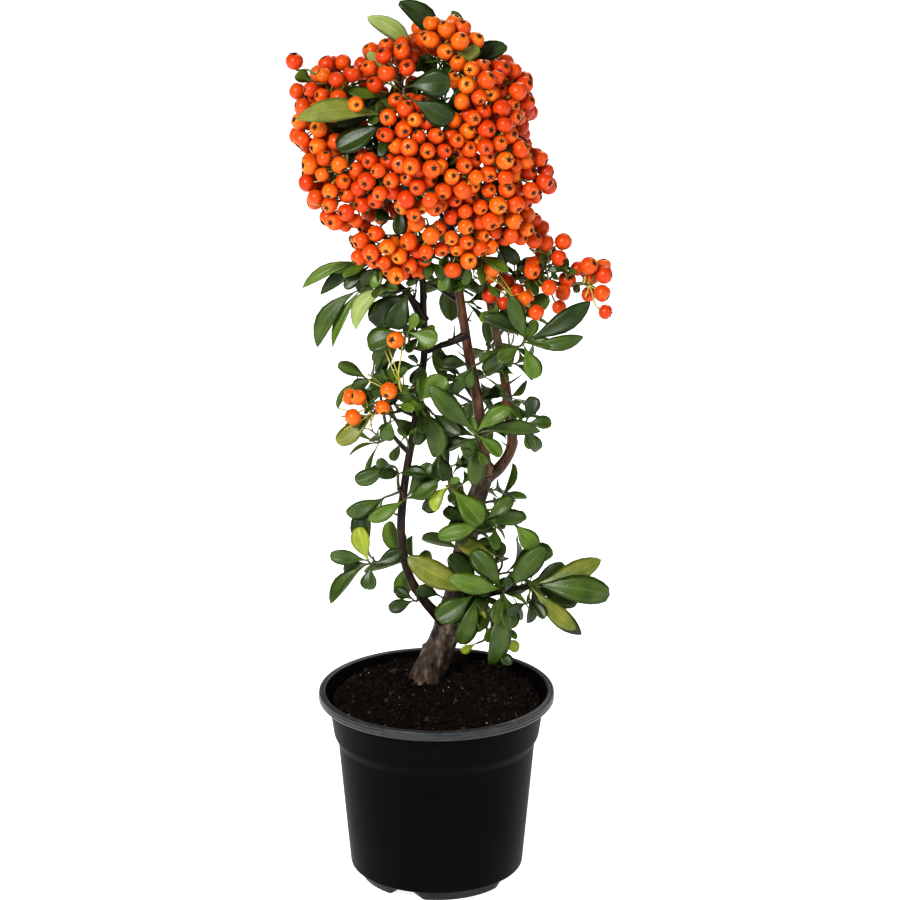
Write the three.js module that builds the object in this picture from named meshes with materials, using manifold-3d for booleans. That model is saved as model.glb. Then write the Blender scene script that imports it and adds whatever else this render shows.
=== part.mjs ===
// A young firethorn shrub in its round nursery pot, in millimetres, +Z up.
// The origin is the centre of the pot's flat underside. The front of the plant is -Y and its
// long arm of fruit reaches towards +X.
//
// The plant is a trunk that forks into a few tapering limbs. Masses of leaves and masses of fruit
// stand on them: in each, twigs grow from one stem towards the places of its shoots, and every
// shoot carries a rosette of leaves or a domed bunch of berries. A twig, leaf or berry that would
// leave the plant's space or come too near its neighbours is left out.

import * as THREE from "three";
import { mergeVertices } from "three/addons/utils/BufferGeometryUtils.js";
import Module from "manifold-3d";

const wasm = await Module();
wasm.setup();

// ---------------------------------------------------------------- driving dimensions

const POT = {
  height: 117,
  rimRadius: 70,
  rimHeight: 6,
  rimWidth: 4.2,
  bandRadius: 64, // under the rim
  shoulderHeight: 90, // where the upper band ends
  shoulderRadius: 61,
  shoulderDrop: 5, // height of the sloping step under it
  bodyRadius: 58.5, // just under the shoulder
  bodyFootRadius: 51.5,
  footRadius: 45,
  footHeight: 5.5,
  wall: 1.6,
  floor: 7,
  notches: 4, // drain notches round the foot
  notchTurn: 1.15, // where the first is, in radians from +X
  notchWidth: 15,
  notchDepth: 8,
  notchHeight: 5.4,
  segments: 32,
};

const SOIL = { level: 109.7, edgeLevel: 107.5, flatRadius: 46 };
const CLEAR = 0.3; // gap between neighbouring pieces

const LEAF = {
  widthShare: 0.45, // of its length
  widest: 0.6, // share of the length from the base
  ridge: 0.15, // where both faces are highest
  thickness: 1.3,
  spacing: 2, // from one leaf of a shoot to the next, down the twig
  sunk: 0.4, // of the base into the twig
};
const ROSETTE = {
  unevenTurn: 24, // degrees
  unevenSpread: 0.3, // share of the spread
  shorter: 0.28, // share of the length that a leaf may lack
  outward: 0.8, // what an upper face turns to: away from the plant's axis,
  up: 0.7, // the sky,
  along: 0.6, // the shoot's line
  aside: 0.5, // and by chance to one side
};
const BERRY = { radius: 6.6, shareOfCount: 0.33, fewest: 3 };
const BUNCH = { domeDepth: 1.45, footShare: 0.55, flatness: 0.7 };
const STALK = { footRadius: 0.4, tipRadius: 0.8, spacing: 1.6 };
const TWIG = {
  stemRadius: 1.9,
  stemTipRadius: 1.5,
  footRadius: 0.45,
  tipRadius: 1,
  stepLength: 28,
  nodes: [0.25, 0.5, 0.75, 0.97], // shares of its length where others may start
  tipReach: 14, // length of the end that lies along the shoot's line
  bow: 0.05, // share of its length, and what every new try adds
  moreBow: 0.07,
  tries: 6,
};
const HEART_SHARE = 0.6; // of the way from the limb to the middle of the shoots
// What makes a twig point a poor place to start from: its way back to the limb, the turn the new
// twig makes there, and a start closer than the nearest.
const COST = { way: 0.25, turn: 7, nearest: 4, tooNear: 50 };
const NEAR_NODES = 5; // twig points tried
const ROOT_REACH = 4; // round a stem's foot, where it may touch its own limb
const THORN = { length: 11, radius: 1.3, spacing: 65, clearRadius: 1.6, thickestLimb: 7 };
const LIMB = { sides: 6, stepLength: 24, flareSteps: 3, flareReach: 13 };
const MOST_BEHIND = 0.7; // share of a twig that its leaves or stalks may take up

// The space that the plant keeps to.
const SPACE = new THREE.Box3(new THREE.Vector3(-85, -78, 124), new THREE.Vector3(100, 92, 528));
const CROWN_AXIS = new THREE.Vector3(-2, 12, 0); // leaves and fruit face away from this upright line
const CROWN_HEART = new THREE.Vector3(-2, 12, 425);

const COLOURS = {
  pot: 0x17181a,
  soil: 0x2b211b,
  bark: 0x5b4538,
  leaf: 0x35521f,
  fruit: 0xe8541c,
};

// Each limb: its route, its radii at both ends, and what its flared foot adds.
const LIMBS = {
  trunk: {
    route: [[-8, 26.5, 104], [-5.5, 26, 114], [4, 24, 139], [11, 20, 166], [17.5, 16, 202],
      [20, 15, 218], [29, 13, 247]],
    radii: [9, 5.3],
    flare: 3,
    sides: 10,
  },
  middle_stem: {
    route: [[29, 13, 246], [26.5, 12, 268], [24, 12, 292], [18.5, 12, 322], [14, 14, 352],
      [10.5, 14, 375], [6, 12, 406], [3.5, 10, 435]],
    radii: [3.6, 1.8],
  },
  right_stem: {
    route: [[27, 14, 242], [37.5, 18, 249], [44, 22, 260], [42.5, 22, 283], [38, 20, 313],
      [32.5, 18, 342], [28, 16, 366], [26.5, 14, 393], [29, 10, 424]],
    radii: [3.3, 1.6],
  },
  left_stem_lower: {
    route: [[6, 20, 150], [-6.7, 10, 168], [-15, 4, 184], [-19.5, 0, 200]],
    radii: [3, 2.4],
  },
  left_stem_upper: {
    route: [[-19.6, -0.2, 200.8], [-20.6, -2, 217], [-18, 0, 247], [-14, 2, 271], [-9.3, 4, 301],
      [-6.5, 6, 327], [-7, 6, 345]],
    radii: [2.4, 2],
  },
  left_crown_bough: {
    route: [[-7, 6, 345.8], [-9, 8, 375], [-18, 6, 405], [-30, 0, 436]],
    radii: [2, 1.3],
  },
  left_branch: {
    route: [[-7, 6, 341], [-15, 4, 356], [-24, 0, 366], [-34, -3, 372]],
    radii: [2.1, 1.2],
  },
  right_arm: {
    route: [[31, 17, 349], [41, 13, 364], [58, 7, 366], [73, 6, 362]],
    radii: [2.2, 1.2],
  },
  back_crown_bough: {
    route: [[12, 14, 362], [9, 30, 390], [4, 42, 425]],
    radii: [2, 1.2],
  },
  low_right_branch: {
    route: [[11, 20, 166], [22, 6, 172], [37, -8, 181], [56, -10, 185]],
    radii: [3, 1.5],
  },
  cross_branch: { route: [[17.5, 12, 331], [8, 10, 327], [0, 8, 324.5]], radii: [1.6, 1] },
};

// Masses of leaves: the limb and the part of its length that the stem grows from, then its shoots:
// place, azimuth and elevation that the shoot faces, leaves, their length and spread from
// the shoot's line, and the turn of the first one round it (degrees, 0 on top).
const CROWN_LEAVES = {
  top_leaves: { limb: "middle_stem", at: 1, shoots: [
    [[-12, 4, 492], 193, 46, 1, 39, 0, 0],
    [[-1, 6, 488], 186, 63, 1, 44, 0, 0],
    [[-24, -6, 488], 153, 27, 1, 20, 0, 0],
    [[13, 4, 487], -43, 52, 1, 24, 0, 0],
    [[16, 10, 485], 10, 36, 1, 30, 0, 0],
  ] },
  crown_front_leaves: { limb: "middle_stem", at: 0.9, shoots: [
    [[-17, -31, 478], -16, -3, 2, 29, 27, 0],
    [[-20, -20, 415], -100, -72, 1, 17, 0, 0],
  ] },
  crown_left_leaves: { limb: "left_crown_bough", at: 0.95, shoots: [
    [[-29, -22, 466], 185, 2, 1, 48, 0, 0],
    [[-26, -20, 464], 208, -24, 1, 34, 0, 0],
    [[-36, -12, 461], 178, -20, 2, 29, 11, 30],
    [[-29, -12, 476], 190, 12, 1, 22, 0, 0],
    [[-36, -22, 425], 230, -70, 1, 15, 0, 0],
  ] },
};

const LEAVES = {
  crown_under_leaves: { limb: "middle_stem", at: 0.62, shoots: [
    [[-4, -10, 380], -60, -60, 2, 16, 35, 90],
    [[24, -12, 384], -25, -50, 2, 22, 28, 0],
  ] },
  left_branch_leaves: { limb: "left_branch", at: 1, shoots: [
    [[-46, -6, 377], 192, -28, 4, 29, 22, 60],
    [[-40, 2, 381], 150, 10, 2, 16, 45, 20],
  ] },
  left_hanging_leaves: { limb: "left_branch", at: 0.55, shoots: [
    [[-35, -8, 361], 197, -44, 2, 45, 9, 0],
    [[-26, -11, 360], 216, -37, 1, 37, 0, 0],
    [[-21, -9, 352], 210, -65, 2, 27, 20, 90],
  ] },
  left_middle_leaves: { limb: "left_stem_upper", at: 0.86, shoots: [
    [[-10, -10, 340], -80, 10, 4, 18, 70, 40],
    [[-24, -2, 330], 205, -15, 2, 22, 35, 0],
    [[-37, 2, 318], 205, -45, 3, 24, 38, 20],
  ] },
  left_low_middle_leaves: { limb: "left_stem_upper", at: 0.6, shoots: [
    [[-30, -10, 291], 202, -31, 2, 30, 14, 0],
    [[-26, -10, 286], -100, -75, 1, 14, 0, 0],
    [[-21, -16, 297], -20, 0, 2, 17, 30, 90],
  ] },
  centre_left_leaves: { limb: "left_stem_upper", at: 0.68, shoots: [
    [[-7, -14, 301], -20, -15, 3, 29, 45, 0],
    [[-2, -8, 289], -60, -50, 4, 28, 38, 45],
  ] },
  centre_leaves: { limb: "middle_stem", at: 0.14, shoots: [
    [[23, -14, 280], -80, 10, 6, 29, 72, 34],
  ] },
  inner_leaves: { limb: "middle_stem", at: 0.34, shoots: [
    [[12, 0, 308], 190, 5, 4, 22, 45, 0],
  ] },
  right_middle_leaves: { limb: "right_stem", at: 0.24, shoots: [
    [[49, 6, 279], -60, 5, 5, 19, 65, 20],
  ] },
  right_upper_leaves: { limb: "right_stem", at: 0.42, shoots: [
    [[50, -12, 328], -85, 8, 6, 32, 74, -15],
    [[36, 8, 324], 210, -40, 2, 19, 20, 0],
  ] },
  fork_left_leaves: { limb: "trunk", at: 0.8, shoots: [
    [[6, -10, 247], -90, 0, 5, 28, 75, 139],
    [[20, -2, 219], -80, 10, 4, 26, 75, 250],
  ] },
  fork_right_leaves: { limb: "trunk", at: 0.88, shoots: [
    [[44, -6, 228], -60, 0, 3, 26, 60, 120],
    [[36, 2, 238], -50, 20, 3, 18, 60, 60],
  ] },
  low_front_leaves: { limb: "low_right_branch", at: 0.45, shoots: [
    [[16, -12, 184], -115, -5, 5, 32, 70, 320],
    [[20, -2, 146], -110, 10, 2, 14, 50, 60],
  ] },
  low_middle_leaves: { limb: "low_right_branch", at: 0.7, shoots: [
    [[41, -22, 189], -80, 5, 6, 28, 72, 20],
    [[40, -18, 166], -90, -50, 3, 29, 35, 200],
    [[42, -8, 145], -60, 10, 2, 14, 50, 90],
  ] },
  low_right_leaves: { limb: "low_right_branch", at: 1, shoots: [
    [[61, -12, 185], -28, -10, 6, 40, 44, 30],
  ] },
  left_side_leaves: { limb: "left_stem_upper", at: 0.3, shoots: [
    [[-28, -6, 257], 200, -5, 4, 20, 45, 0],
    [[-28, -8, 239], 195, -30, 3, 26, 25, 0],
    [[-16, -9, 242], -10, 30, 1, 25, 0, 0],
  ] },
  left_rosette_leaves: { limb: "left_stem_upper", at: 0.03, shoots: [
    [[-40, -10, 201], -110, 5, 6, 26, 75, -10],
    [[-14, -8, 203], 10, 10, 1, 14, 0, 0],
  ] },
  left_low_leaves: { limb: "left_stem_lower", at: 0.55, shoots: [
    [[-24, -2, 174], 190, -10, 3, 21, 30, 0],
  ] },
  back_crown_leaves: { limb: "back_crown_bough", at: 0.7, shoots: [
    [[28, 56, 452], 70, 5, 4, 30, 50, 30],
    [[-10, 62, 418], 95, -10, 4, 28, 50, 60],
    [[-48, 44, 452], 150, 0, 3, 28, 45, 10],
    [[10, 50, 492], 80, 45, 3, 28, 35, 0],
  ] },
  back_upper_leaves: { limb: "middle_stem", at: 0.55, shoots: [
    [[-28, 38, 362], 120, -25, 4, 32, 35, 20],
    [[8, 44, 356], 85, -35, 4, 32, 38, 0],
  ] },
  back_right_leaves: { limb: "right_stem", at: 0.5, shoots: [
    [[50, 38, 338], 50, -10, 5, 28, 55, 40],
    [[30, 46, 312], 80, 0, 3, 28, 55, 0],
  ] },
  back_middle_leaves: { limb: "middle_stem", at: 0.24, shoots: [
    [[4, 44, 290], 100, -5, 4, 28, 60, 10],
    [[34, 44, 268], 70, -15, 4, 26, 50, 50],
  ] },
  back_left_leaves: { limb: "left_stem_upper", at: 0.45, shoots: [
    [[-40, 26, 300], 140, -15, 4, 27, 55, 30],
    [[-36, 24, 262], 150, -10, 4, 24, 55, 0],
  ] },
  back_fork_leaves: { limb: "trunk", at: 0.72, shoots: [
    [[8, 44, 238], 95, 5, 4, 28, 65, 20],
    [[38, 40, 222], 60, -5, 4, 26, 55, 0],
  ] },
  back_low_leaves: { limb: "trunk", at: 0.42, shoots: [
    [[16, 50, 186], 95, -5, 5, 33, 65, 10],
    [[46, 34, 178], 45, -10, 4, 32, 55, 40],
    [[-18, 44, 182], 125, -5, 4, 30, 60, 0],
  ] },
};

// Masses of fruit: limb and place on it, then its bunches: place, radius, berries on the real plant.
const FRUIT = {
  top_left_fruit: { limb: "left_crown_bough", at: 1, bunches: [
    [[-59, -12, 479], 17, 12],
    [[-68, -8, 460], 15, 8],
  ] },
  left_fruit: { limb: "left_crown_bough", at: 0.8, bunches: [
    [[-60, -18, 434], 18, 12],
    [[-50, -20, 416], 15, 9],
    [[-33, -34, 436], 14, 8],
  ] },
  top_fruit: { limb: "middle_stem", at: 0.97, bunches: [
    [[-26, -14, 494], 15, 9],
    [[7, -12, 507], 14, 9],
    [[-18, -34, 467], 13, 7],
  ] },
  top_right_fruit: { limb: "right_stem", at: 1, bunches: [
    [[21, -24, 486], 14, 9],
    [[40, -10, 479], 14, 10],
    [[30, -29, 463], 14, 9],
  ] },
  front_fruit: { limb: "middle_stem", at: 0.84, bunches: [
    [[-8, -37, 452], 15, 10],
    [[-10, -36, 428], 15, 9],
    [[13, -35, 439], 14, 8],
  ] },
  right_fruit: { limb: "right_stem", at: 0.9, bunches: [
    [[37, -28, 444], 14, 8],
    [[53, -12, 430], 14, 10],
    [[34, -26, 419], 14, 8],
  ] },
  under_right_fruit: { limb: "right_stem", at: 0.8, bunches: [
    [[19, -20, 395], 15, 10],
    [[44, -14, 403], 11, 5],
  ] },
  under_fruit: { limb: "middle_stem", at: 0.7, bunches: [
    [[-6, -26, 399], 14, 8],
    [[-18, -13, 383], 12, 6],
  ] },
  under_left_fruit: { limb: "left_crown_bough", at: 0.45, bunches: [[[-34, -20, 399], 15, 10]] },
  arm_inner_fruit: { limb: "right_arm", at: 0.3, bunches: [
    [[33, -18, 370], 13, 8],
    [[52, -12, 355], 14, 8],
  ] },
  arm_upper_fruit: { limb: "right_arm", at: 0.65, bunches: [
    [[54, 5, 392], 13, 7],
    [[68, 0, 376], 14, 9],
  ] },
  arm_end_fruit: { limb: "right_arm", at: 1, bunches: [[[87, 4, 363], 13, 9]] },
  little_fruit: { limb: "left_stem_upper", at: 0.72, bunches: [[[-38, -14, 300], 14, 6]] },
  back_top_fruit: { limb: "middle_stem", at: 0.92, bunches: [
    [[-29, 26, 486], 15, 9],
    [[0, 38, 496], 15, 10],
    [[27, 30, 484], 15, 9],
  ] },
  back_left_fruit: { limb: "left_crown_bough", at: 0.9, bunches: [
    [[-62, 24, 464], 15, 9],
    [[-62, 24, 430], 15, 9],
  ] },
  back_middle_fruit: { limb: "back_crown_bough", at: 1, bunches: [
    [[-26, 56, 462], 16, 9],
    [[12, 64, 460], 16, 9],
  ] },
  back_right_fruit: { limb: "right_stem", at: 0.95, bunches: [
    [[40, 34, 462], 15, 9],
    [[42, 52, 432], 15, 10],
  ] },
  back_under_fruit: { limb: "back_crown_bough", at: 0.5, bunches: [
    [[-32, 44, 406], 16, 9],
    [[20, 50, 400], 16, 9],
  ] },
};

// ---------------------------------------------------------------- solids

// A closed geometry as a solid that can be joined and cut.
function solidOf(geometry) {
  geometry.deleteAttribute("normal");
  geometry.deleteAttribute("uv");
  const merged = mergeVertices(geometry, 1e-4);
  return new wasm.Manifold(new wasm.Mesh({
    numProp: 3,
    vertProperties: merged.getAttribute("position").array,
    triVerts: new Uint32Array(merged.index.array),
  }));
}

// A joined solid as a flat-shaded geometry.
function geometryOf(solid) {
  const mesh = solid.getMesh();
  const geometry = new THREE.BufferGeometry();
  geometry.setAttribute("position", new THREE.BufferAttribute(mesh.vertProperties, 3));
  geometry.setIndex(new THREE.BufferAttribute(mesh.triVerts, 1));
  const flat = geometry.toNonIndexed();
  flat.computeVertexNormals();
  return flat;
}

// The largest connected piece: loose scraps and sealed hollows are dropped.
function largestPiece(solid) {
  return solid.decompose().reduce((best, piece) => (piece.volume() > best.volume() ? piece : best));
}

const point = (values) => new THREE.Vector3(...values);

// A repeatable number from 0 to 1.
function chance(seed, index, channel) {
  const wave = Math.sin(seed * 127.1 + index * 311.7 + channel * 74.7) * 43758.5453;
  return wave - Math.floor(wave);
}

function heading(azimuth, elevation) {
  const a = THREE.MathUtils.degToRad(azimuth);
  const e = THREE.MathUtils.degToRad(elevation);
  return new THREE.Vector3(Math.cos(a) * Math.cos(e), Math.sin(a) * Math.cos(e), Math.sin(e));
}

// A tapering tube: a capped cylinder, turned by a twist, whose rings are carried along a curve. Each
// ring stands square to the mean of the straight lengths before and after it.
function taperedTube(curve, radiusAt, sides, steps, twist = 0) {
  const places = curve.getSpacedPoints(steps);
  const lengths = places.slice(1).map((place, i) => place.clone().sub(places[i]).normalize());
  const turns = [];
  let line = new THREE.Vector3(0, 1, 0);
  let turn = new THREE.Quaternion();
  for (let step = 0; step <= steps; step++) {
    const before = lengths[Math.max(step - 1, 0)];
    const after = lengths[Math.min(step, steps - 1)];
    const next = before.clone().add(after).normalize();
    turn = new THREE.Quaternion().setFromUnitVectors(line, next).multiply(turn);
    turns.push(turn);
    line = next;
  }
  const tube = new THREE.CylinderGeometry(1, 1, 1, sides, steps).rotateY(twist);
  const position = tube.getAttribute("position");
  const spot = new THREE.Vector3();
  for (let i = 0; i < position.count; i++) {
    spot.fromBufferAttribute(position, i);
    const step = Math.round((spot.y + 0.5) * steps);
    const radius = radiusAt(step / steps);
    spot.set(spot.x * radius, 0, spot.z * radius).applyQuaternion(turns[step]).add(places[step]);
    position.setXYZ(i, spot.x, spot.y, spot.z);
  }
  return solidOf(tube);
}

// A leaf: an eight-faced blade, widest past its middle, with a low ridge on both faces.
function leafSolid({ base, along, face, length }, extra = 0) {
  const blade = new THREE.OctahedronGeometry(1);
  const position = blade.getAttribute("position");
  const half = (LEAF.widthShare * length) / 2 + extra;
  for (let i = 0; i < position.count; i++) {
    const [x, y, z] = [position.getX(i), position.getY(i), position.getZ(i)];
    const share = (x + 1) / 2;
    const place = Math.abs(y) > 0.5 ? LEAF.widest : Math.abs(z) > 0.5 ? LEAF.ridge : share;
    position.setXYZ(i, place * (length + extra), y * half, z * (LEAF.thickness / 2 + extra));
  }
  const across = new THREE.Vector3().crossVectors(face, along);
  blade.applyMatrix4(new THREE.Matrix4().makeBasis(along, across, face).setPosition(base));
  return solidOf(blade);
}

// A berry: twenty faces, one of them square to its stalk.
function berrySolid(centre, stalkSide, radius) {
  const berry = new THREE.IcosahedronGeometry(radius);
  const faceLine = new THREE.Vector3();
  for (let i = 0; i < 3; i++) {
    faceLine.add(new THREE.Vector3().fromBufferAttribute(berry.getAttribute("position"), i));
  }
  faceLine.normalize();
  berry.applyQuaternion(new THREE.Quaternion().setFromUnitVectors(faceLine, stalkSide));
  return solidOf(berry.translate(centre.x, centre.y, centre.z));
}

function ball(centre, radius) {
  return solidOf(new THREE.IcosahedronGeometry(radius).translate(centre.x, centre.y, centre.z));
}

function thornSolid(base, along, radius, length) {
  const thorn = new THREE.ConeGeometry(radius, length, 3).translate(0, length / 2, 0);
  const turn = new THREE.Quaternion().setFromUnitVectors(new THREE.Vector3(0, 1, 0), along);
  thorn.applyQuaternion(turn).translate(base.x, base.y, base.z);
  return solidOf(thorn);
}

// ---------------------------------------------------------------- what is built, and what is taken

const plant = new THREE.Group();
plant.name = "firethorn_in_pot";
const taken = []; // solids already placed, with their boxes

function boxOf(solid) {
  const { min, max } = solid.boundingBox();
  return new THREE.Box3(point(min), point(max));
}

function place(name, solid, material) {
  const mesh = new THREE.Mesh(geometryOf(solid), material);
  mesh.name = name;
  plant.add(mesh);
  taken.push({ name, solid, box: boxOf(solid) });
}

// Whether a solid meets anything placed before. Against its own limb only its free part counts.
function clashes(solid, ownLimb = "", freePart = solid) {
  const box = boxOf(solid);
  return taken.some((other) => {
    const part = other.name === ownLimb ? freePart : solid;
    return other.box.intersectsBox(box) && !other.solid.intersect(part).isEmpty();
  });
}

function finish(colour, roughness) {
  return new THREE.MeshStandardMaterial({ color: colour, roughness, metalness: 0, flatShading: true });
}

const potPlastic = finish(COLOURS.pot, 0.45);
const peat = finish(COLOURS.soil, 0.95);
const bark = finish(COLOURS.bark, 0.85);
const leafGreen = finish(COLOURS.leaf, 0.45);
const fruitOrange = finish(COLOURS.fruit, 0.3);

// ---------------------------------------------------------------- pot and soil

// Outer radius of the pot's side under its rim at a height.
function sideRadius(z) {
  const p = POT;
  const shoulderFoot = p.shoulderHeight - p.shoulderDrop;
  if (z >= p.shoulderHeight) {
    const share = (z - p.shoulderHeight) / (p.height - p.rimHeight - p.shoulderHeight);
    return THREE.MathUtils.lerp(p.shoulderRadius, p.bandRadius, share);
  }
  if (z >= shoulderFoot) {
    return THREE.MathUtils.lerp(p.bodyRadius, p.shoulderRadius, (z - shoulderFoot) / p.shoulderDrop);
  }
  return THREE.MathUtils.lerp(p.bodyFootRadius, p.bodyRadius, z / shoulderFoot);
}

function buildPot() {
  const p = POT;
  const underRim = p.height - p.rimHeight;
  const outer = [
    [0, 0],
    [p.footRadius, 0],
    [p.footRadius + 2, p.footHeight],
    [p.bodyFootRadius, p.footHeight + 2],
    [p.bodyRadius, p.shoulderHeight - p.shoulderDrop],
    [p.shoulderRadius, p.shoulderHeight],
    [p.bandRadius, underRim],
    [p.rimRadius - 0.6, underRim],
    [p.rimRadius, p.height - 0.8],
    [p.rimRadius - 1, p.height],
  ];
  const inner = [
    [p.rimRadius - p.rimWidth, p.height - 0.4],
    [p.bandRadius - p.wall, underRim - 1],
    [p.shoulderRadius - p.wall, p.shoulderHeight],
    [p.bodyRadius - p.wall, p.shoulderHeight - p.shoulderDrop],
    [p.bodyFootRadius - p.wall, p.floor],
    [0, p.floor],
  ];
  const profile = [...outer, ...inner].map(([r, z]) => new THREE.Vector2(r, z));
  const shell = new THREE.LatheGeometry(profile, p.segments).rotateX(Math.PI / 2);
  let pot = solidOf(shell);
  const reach = p.footRadius + 4;
  for (let i = 0; i < p.notches; i++) {
    const notch = new THREE.BoxGeometry(2 * p.notchDepth, p.notchWidth, 2 * p.notchHeight)
      .translate(reach, 0, 0)
      .rotateZ((2 * Math.PI * i) / p.notches + p.notchTurn);
    pot = pot.subtract(solidOf(notch));
  }
  place("pot", pot, potPlastic);
}

function buildSoil() {
  const p = POT;
  const wallGap = p.wall + CLEAR;
  const profile = [
    [0, p.floor + CLEAR],
    [p.bodyFootRadius - wallGap - 0.2, p.floor + CLEAR],
    [p.bodyRadius - wallGap, p.shoulderHeight - p.shoulderDrop],
    [sideRadius(p.shoulderHeight) - wallGap - 0.6, p.shoulderHeight + 1],
    [sideRadius(SOIL.edgeLevel) - wallGap, SOIL.edgeLevel],
    [SOIL.flatRadius, SOIL.level],
    [0, SOIL.level],
  ].map(([r, z]) => new THREE.Vector2(r, z));
  place("soil", solidOf(new THREE.LatheGeometry(profile, p.segments).rotateX(Math.PI / 2)), peat);
}

// ---------------------------------------------------------------- trunk and limbs

const limbs = {}; // name -> curve and radius along it
const hulls = []; // every limb a little fatter, for cutting what meets it

function thornsOn(curve, radiusAt, seed) {
  const count = Math.floor(curve.getLength() / THORN.spacing);
  const thorns = [];
  for (let i = 0; i < count; i++) {
    const share = (i + 0.3 + 0.5 * chance(seed, i, 1)) / count;
    if (radiusAt(share) > THORN.thickestLimb) continue;
    const around = 360 * chance(seed, i, 2);
    const along = heading(around, 10 + 40 * chance(seed, i, 3));
    const length = THORN.length * (0.8 + 0.5 * chance(seed, i, 4)) + radiusAt(share);
    const base = curve.getPointAt(share);
    const outside = base.clone().addScaledVector(along, radiusAt(share));
    if (!clashes(thornSolid(outside, along, THORN.clearRadius, length))) {
      thorns.push(thornSolid(base, along, THORN.radius, length));
    }
  }
  return thorns;
}

function buildLimb(name, { route, radii, flare = 0, sides = LIMB.sides }, seed) {
  const curve = new THREE.CatmullRomCurve3(route.map(point), false, "centripetal");
  const reach = curve.getLength();
  const steps = Math.ceil(reach / LIMB.stepLength) + (flare > 0 ? LIMB.flareSteps : 0);
  const radiusAt = (share) =>
    THREE.MathUtils.lerp(radii[0], radii[1], share)
    + flare * Math.exp((-share * reach) / LIMB.flareReach);
  let solid = taperedTube(curve, radiusAt, sides, steps);
  solid = wasm.Manifold.union([solid, ...thornsOn(curve, radiusAt, seed)]);
  if (name === "trunk") {
    const depth = POT.height;
    const ground = new THREE.BoxGeometry(2 * POT.rimRadius, 2 * POT.rimRadius, depth)
      .translate(0, 0, SOIL.level + CLEAR - depth / 2);
    solid = solid.subtract(solidOf(ground));
  }
  for (const hull of hulls) solid = solid.subtract(hull);
  solid = largestPiece(solid);
  const hull = taperedTube(curve, (share) => radiusAt(share) + CLEAR, sides, steps);
  const tip = curve.getPointAt(1);
  const line = curve.getTangentAt(1);
  const cap = new THREE.LineCurve3(tip.clone().sub(line), tip.clone().addScaledVector(line, CLEAR));
  hulls.push(hull.add(taperedTube(cap, () => radii[1] + CLEAR, sides, 1)));
  limbs[name] = { curve, radiusAt };
  place(name, solid, bark);
}

// ---------------------------------------------------------------- twigs

const stepsFor = (length) => THREE.MathUtils.clamp(Math.round(length / TWIG.stepLength), 1, 2);

// The point at a share of a twig's length, on the straight lengths that its tube is made of.
function pointOn(route, share) {
  const steps = stepsFor(route.getLength());
  const step = Math.min(Math.floor(share * steps), steps - 1);
  return route.getPointAt(step / steps).lerp(route.getPointAt((step + 1) / steps), share * steps - step);
}

// A twig's route: it leaves its foot bowed a little to one side and comes to its tip along the
// line that the shoot there faces. Out of a limb's side it starts square to the limb.
function twigRoute(foot, limbLine, target, bow, bowSide) {
  const gap = target.place.distanceTo(foot);
  const start = target.place.clone().sub(foot).normalize();
  const side = new THREE.Vector3().crossVectors(start, bowSide).normalize();
  if (limbLine) start.addScaledVector(limbLine, -0.8 * start.dot(limbLine)).normalize();
  return new THREE.CubicBezierCurve3(
    foot,
    foot.clone().addScaledVector(start, 0.35 * gap).addScaledVector(side, bow * gap),
    target.place.clone().addScaledVector(target.along, -Math.min(0.4 * gap, TWIG.tipReach)),
    target.place,
  );
}

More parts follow.
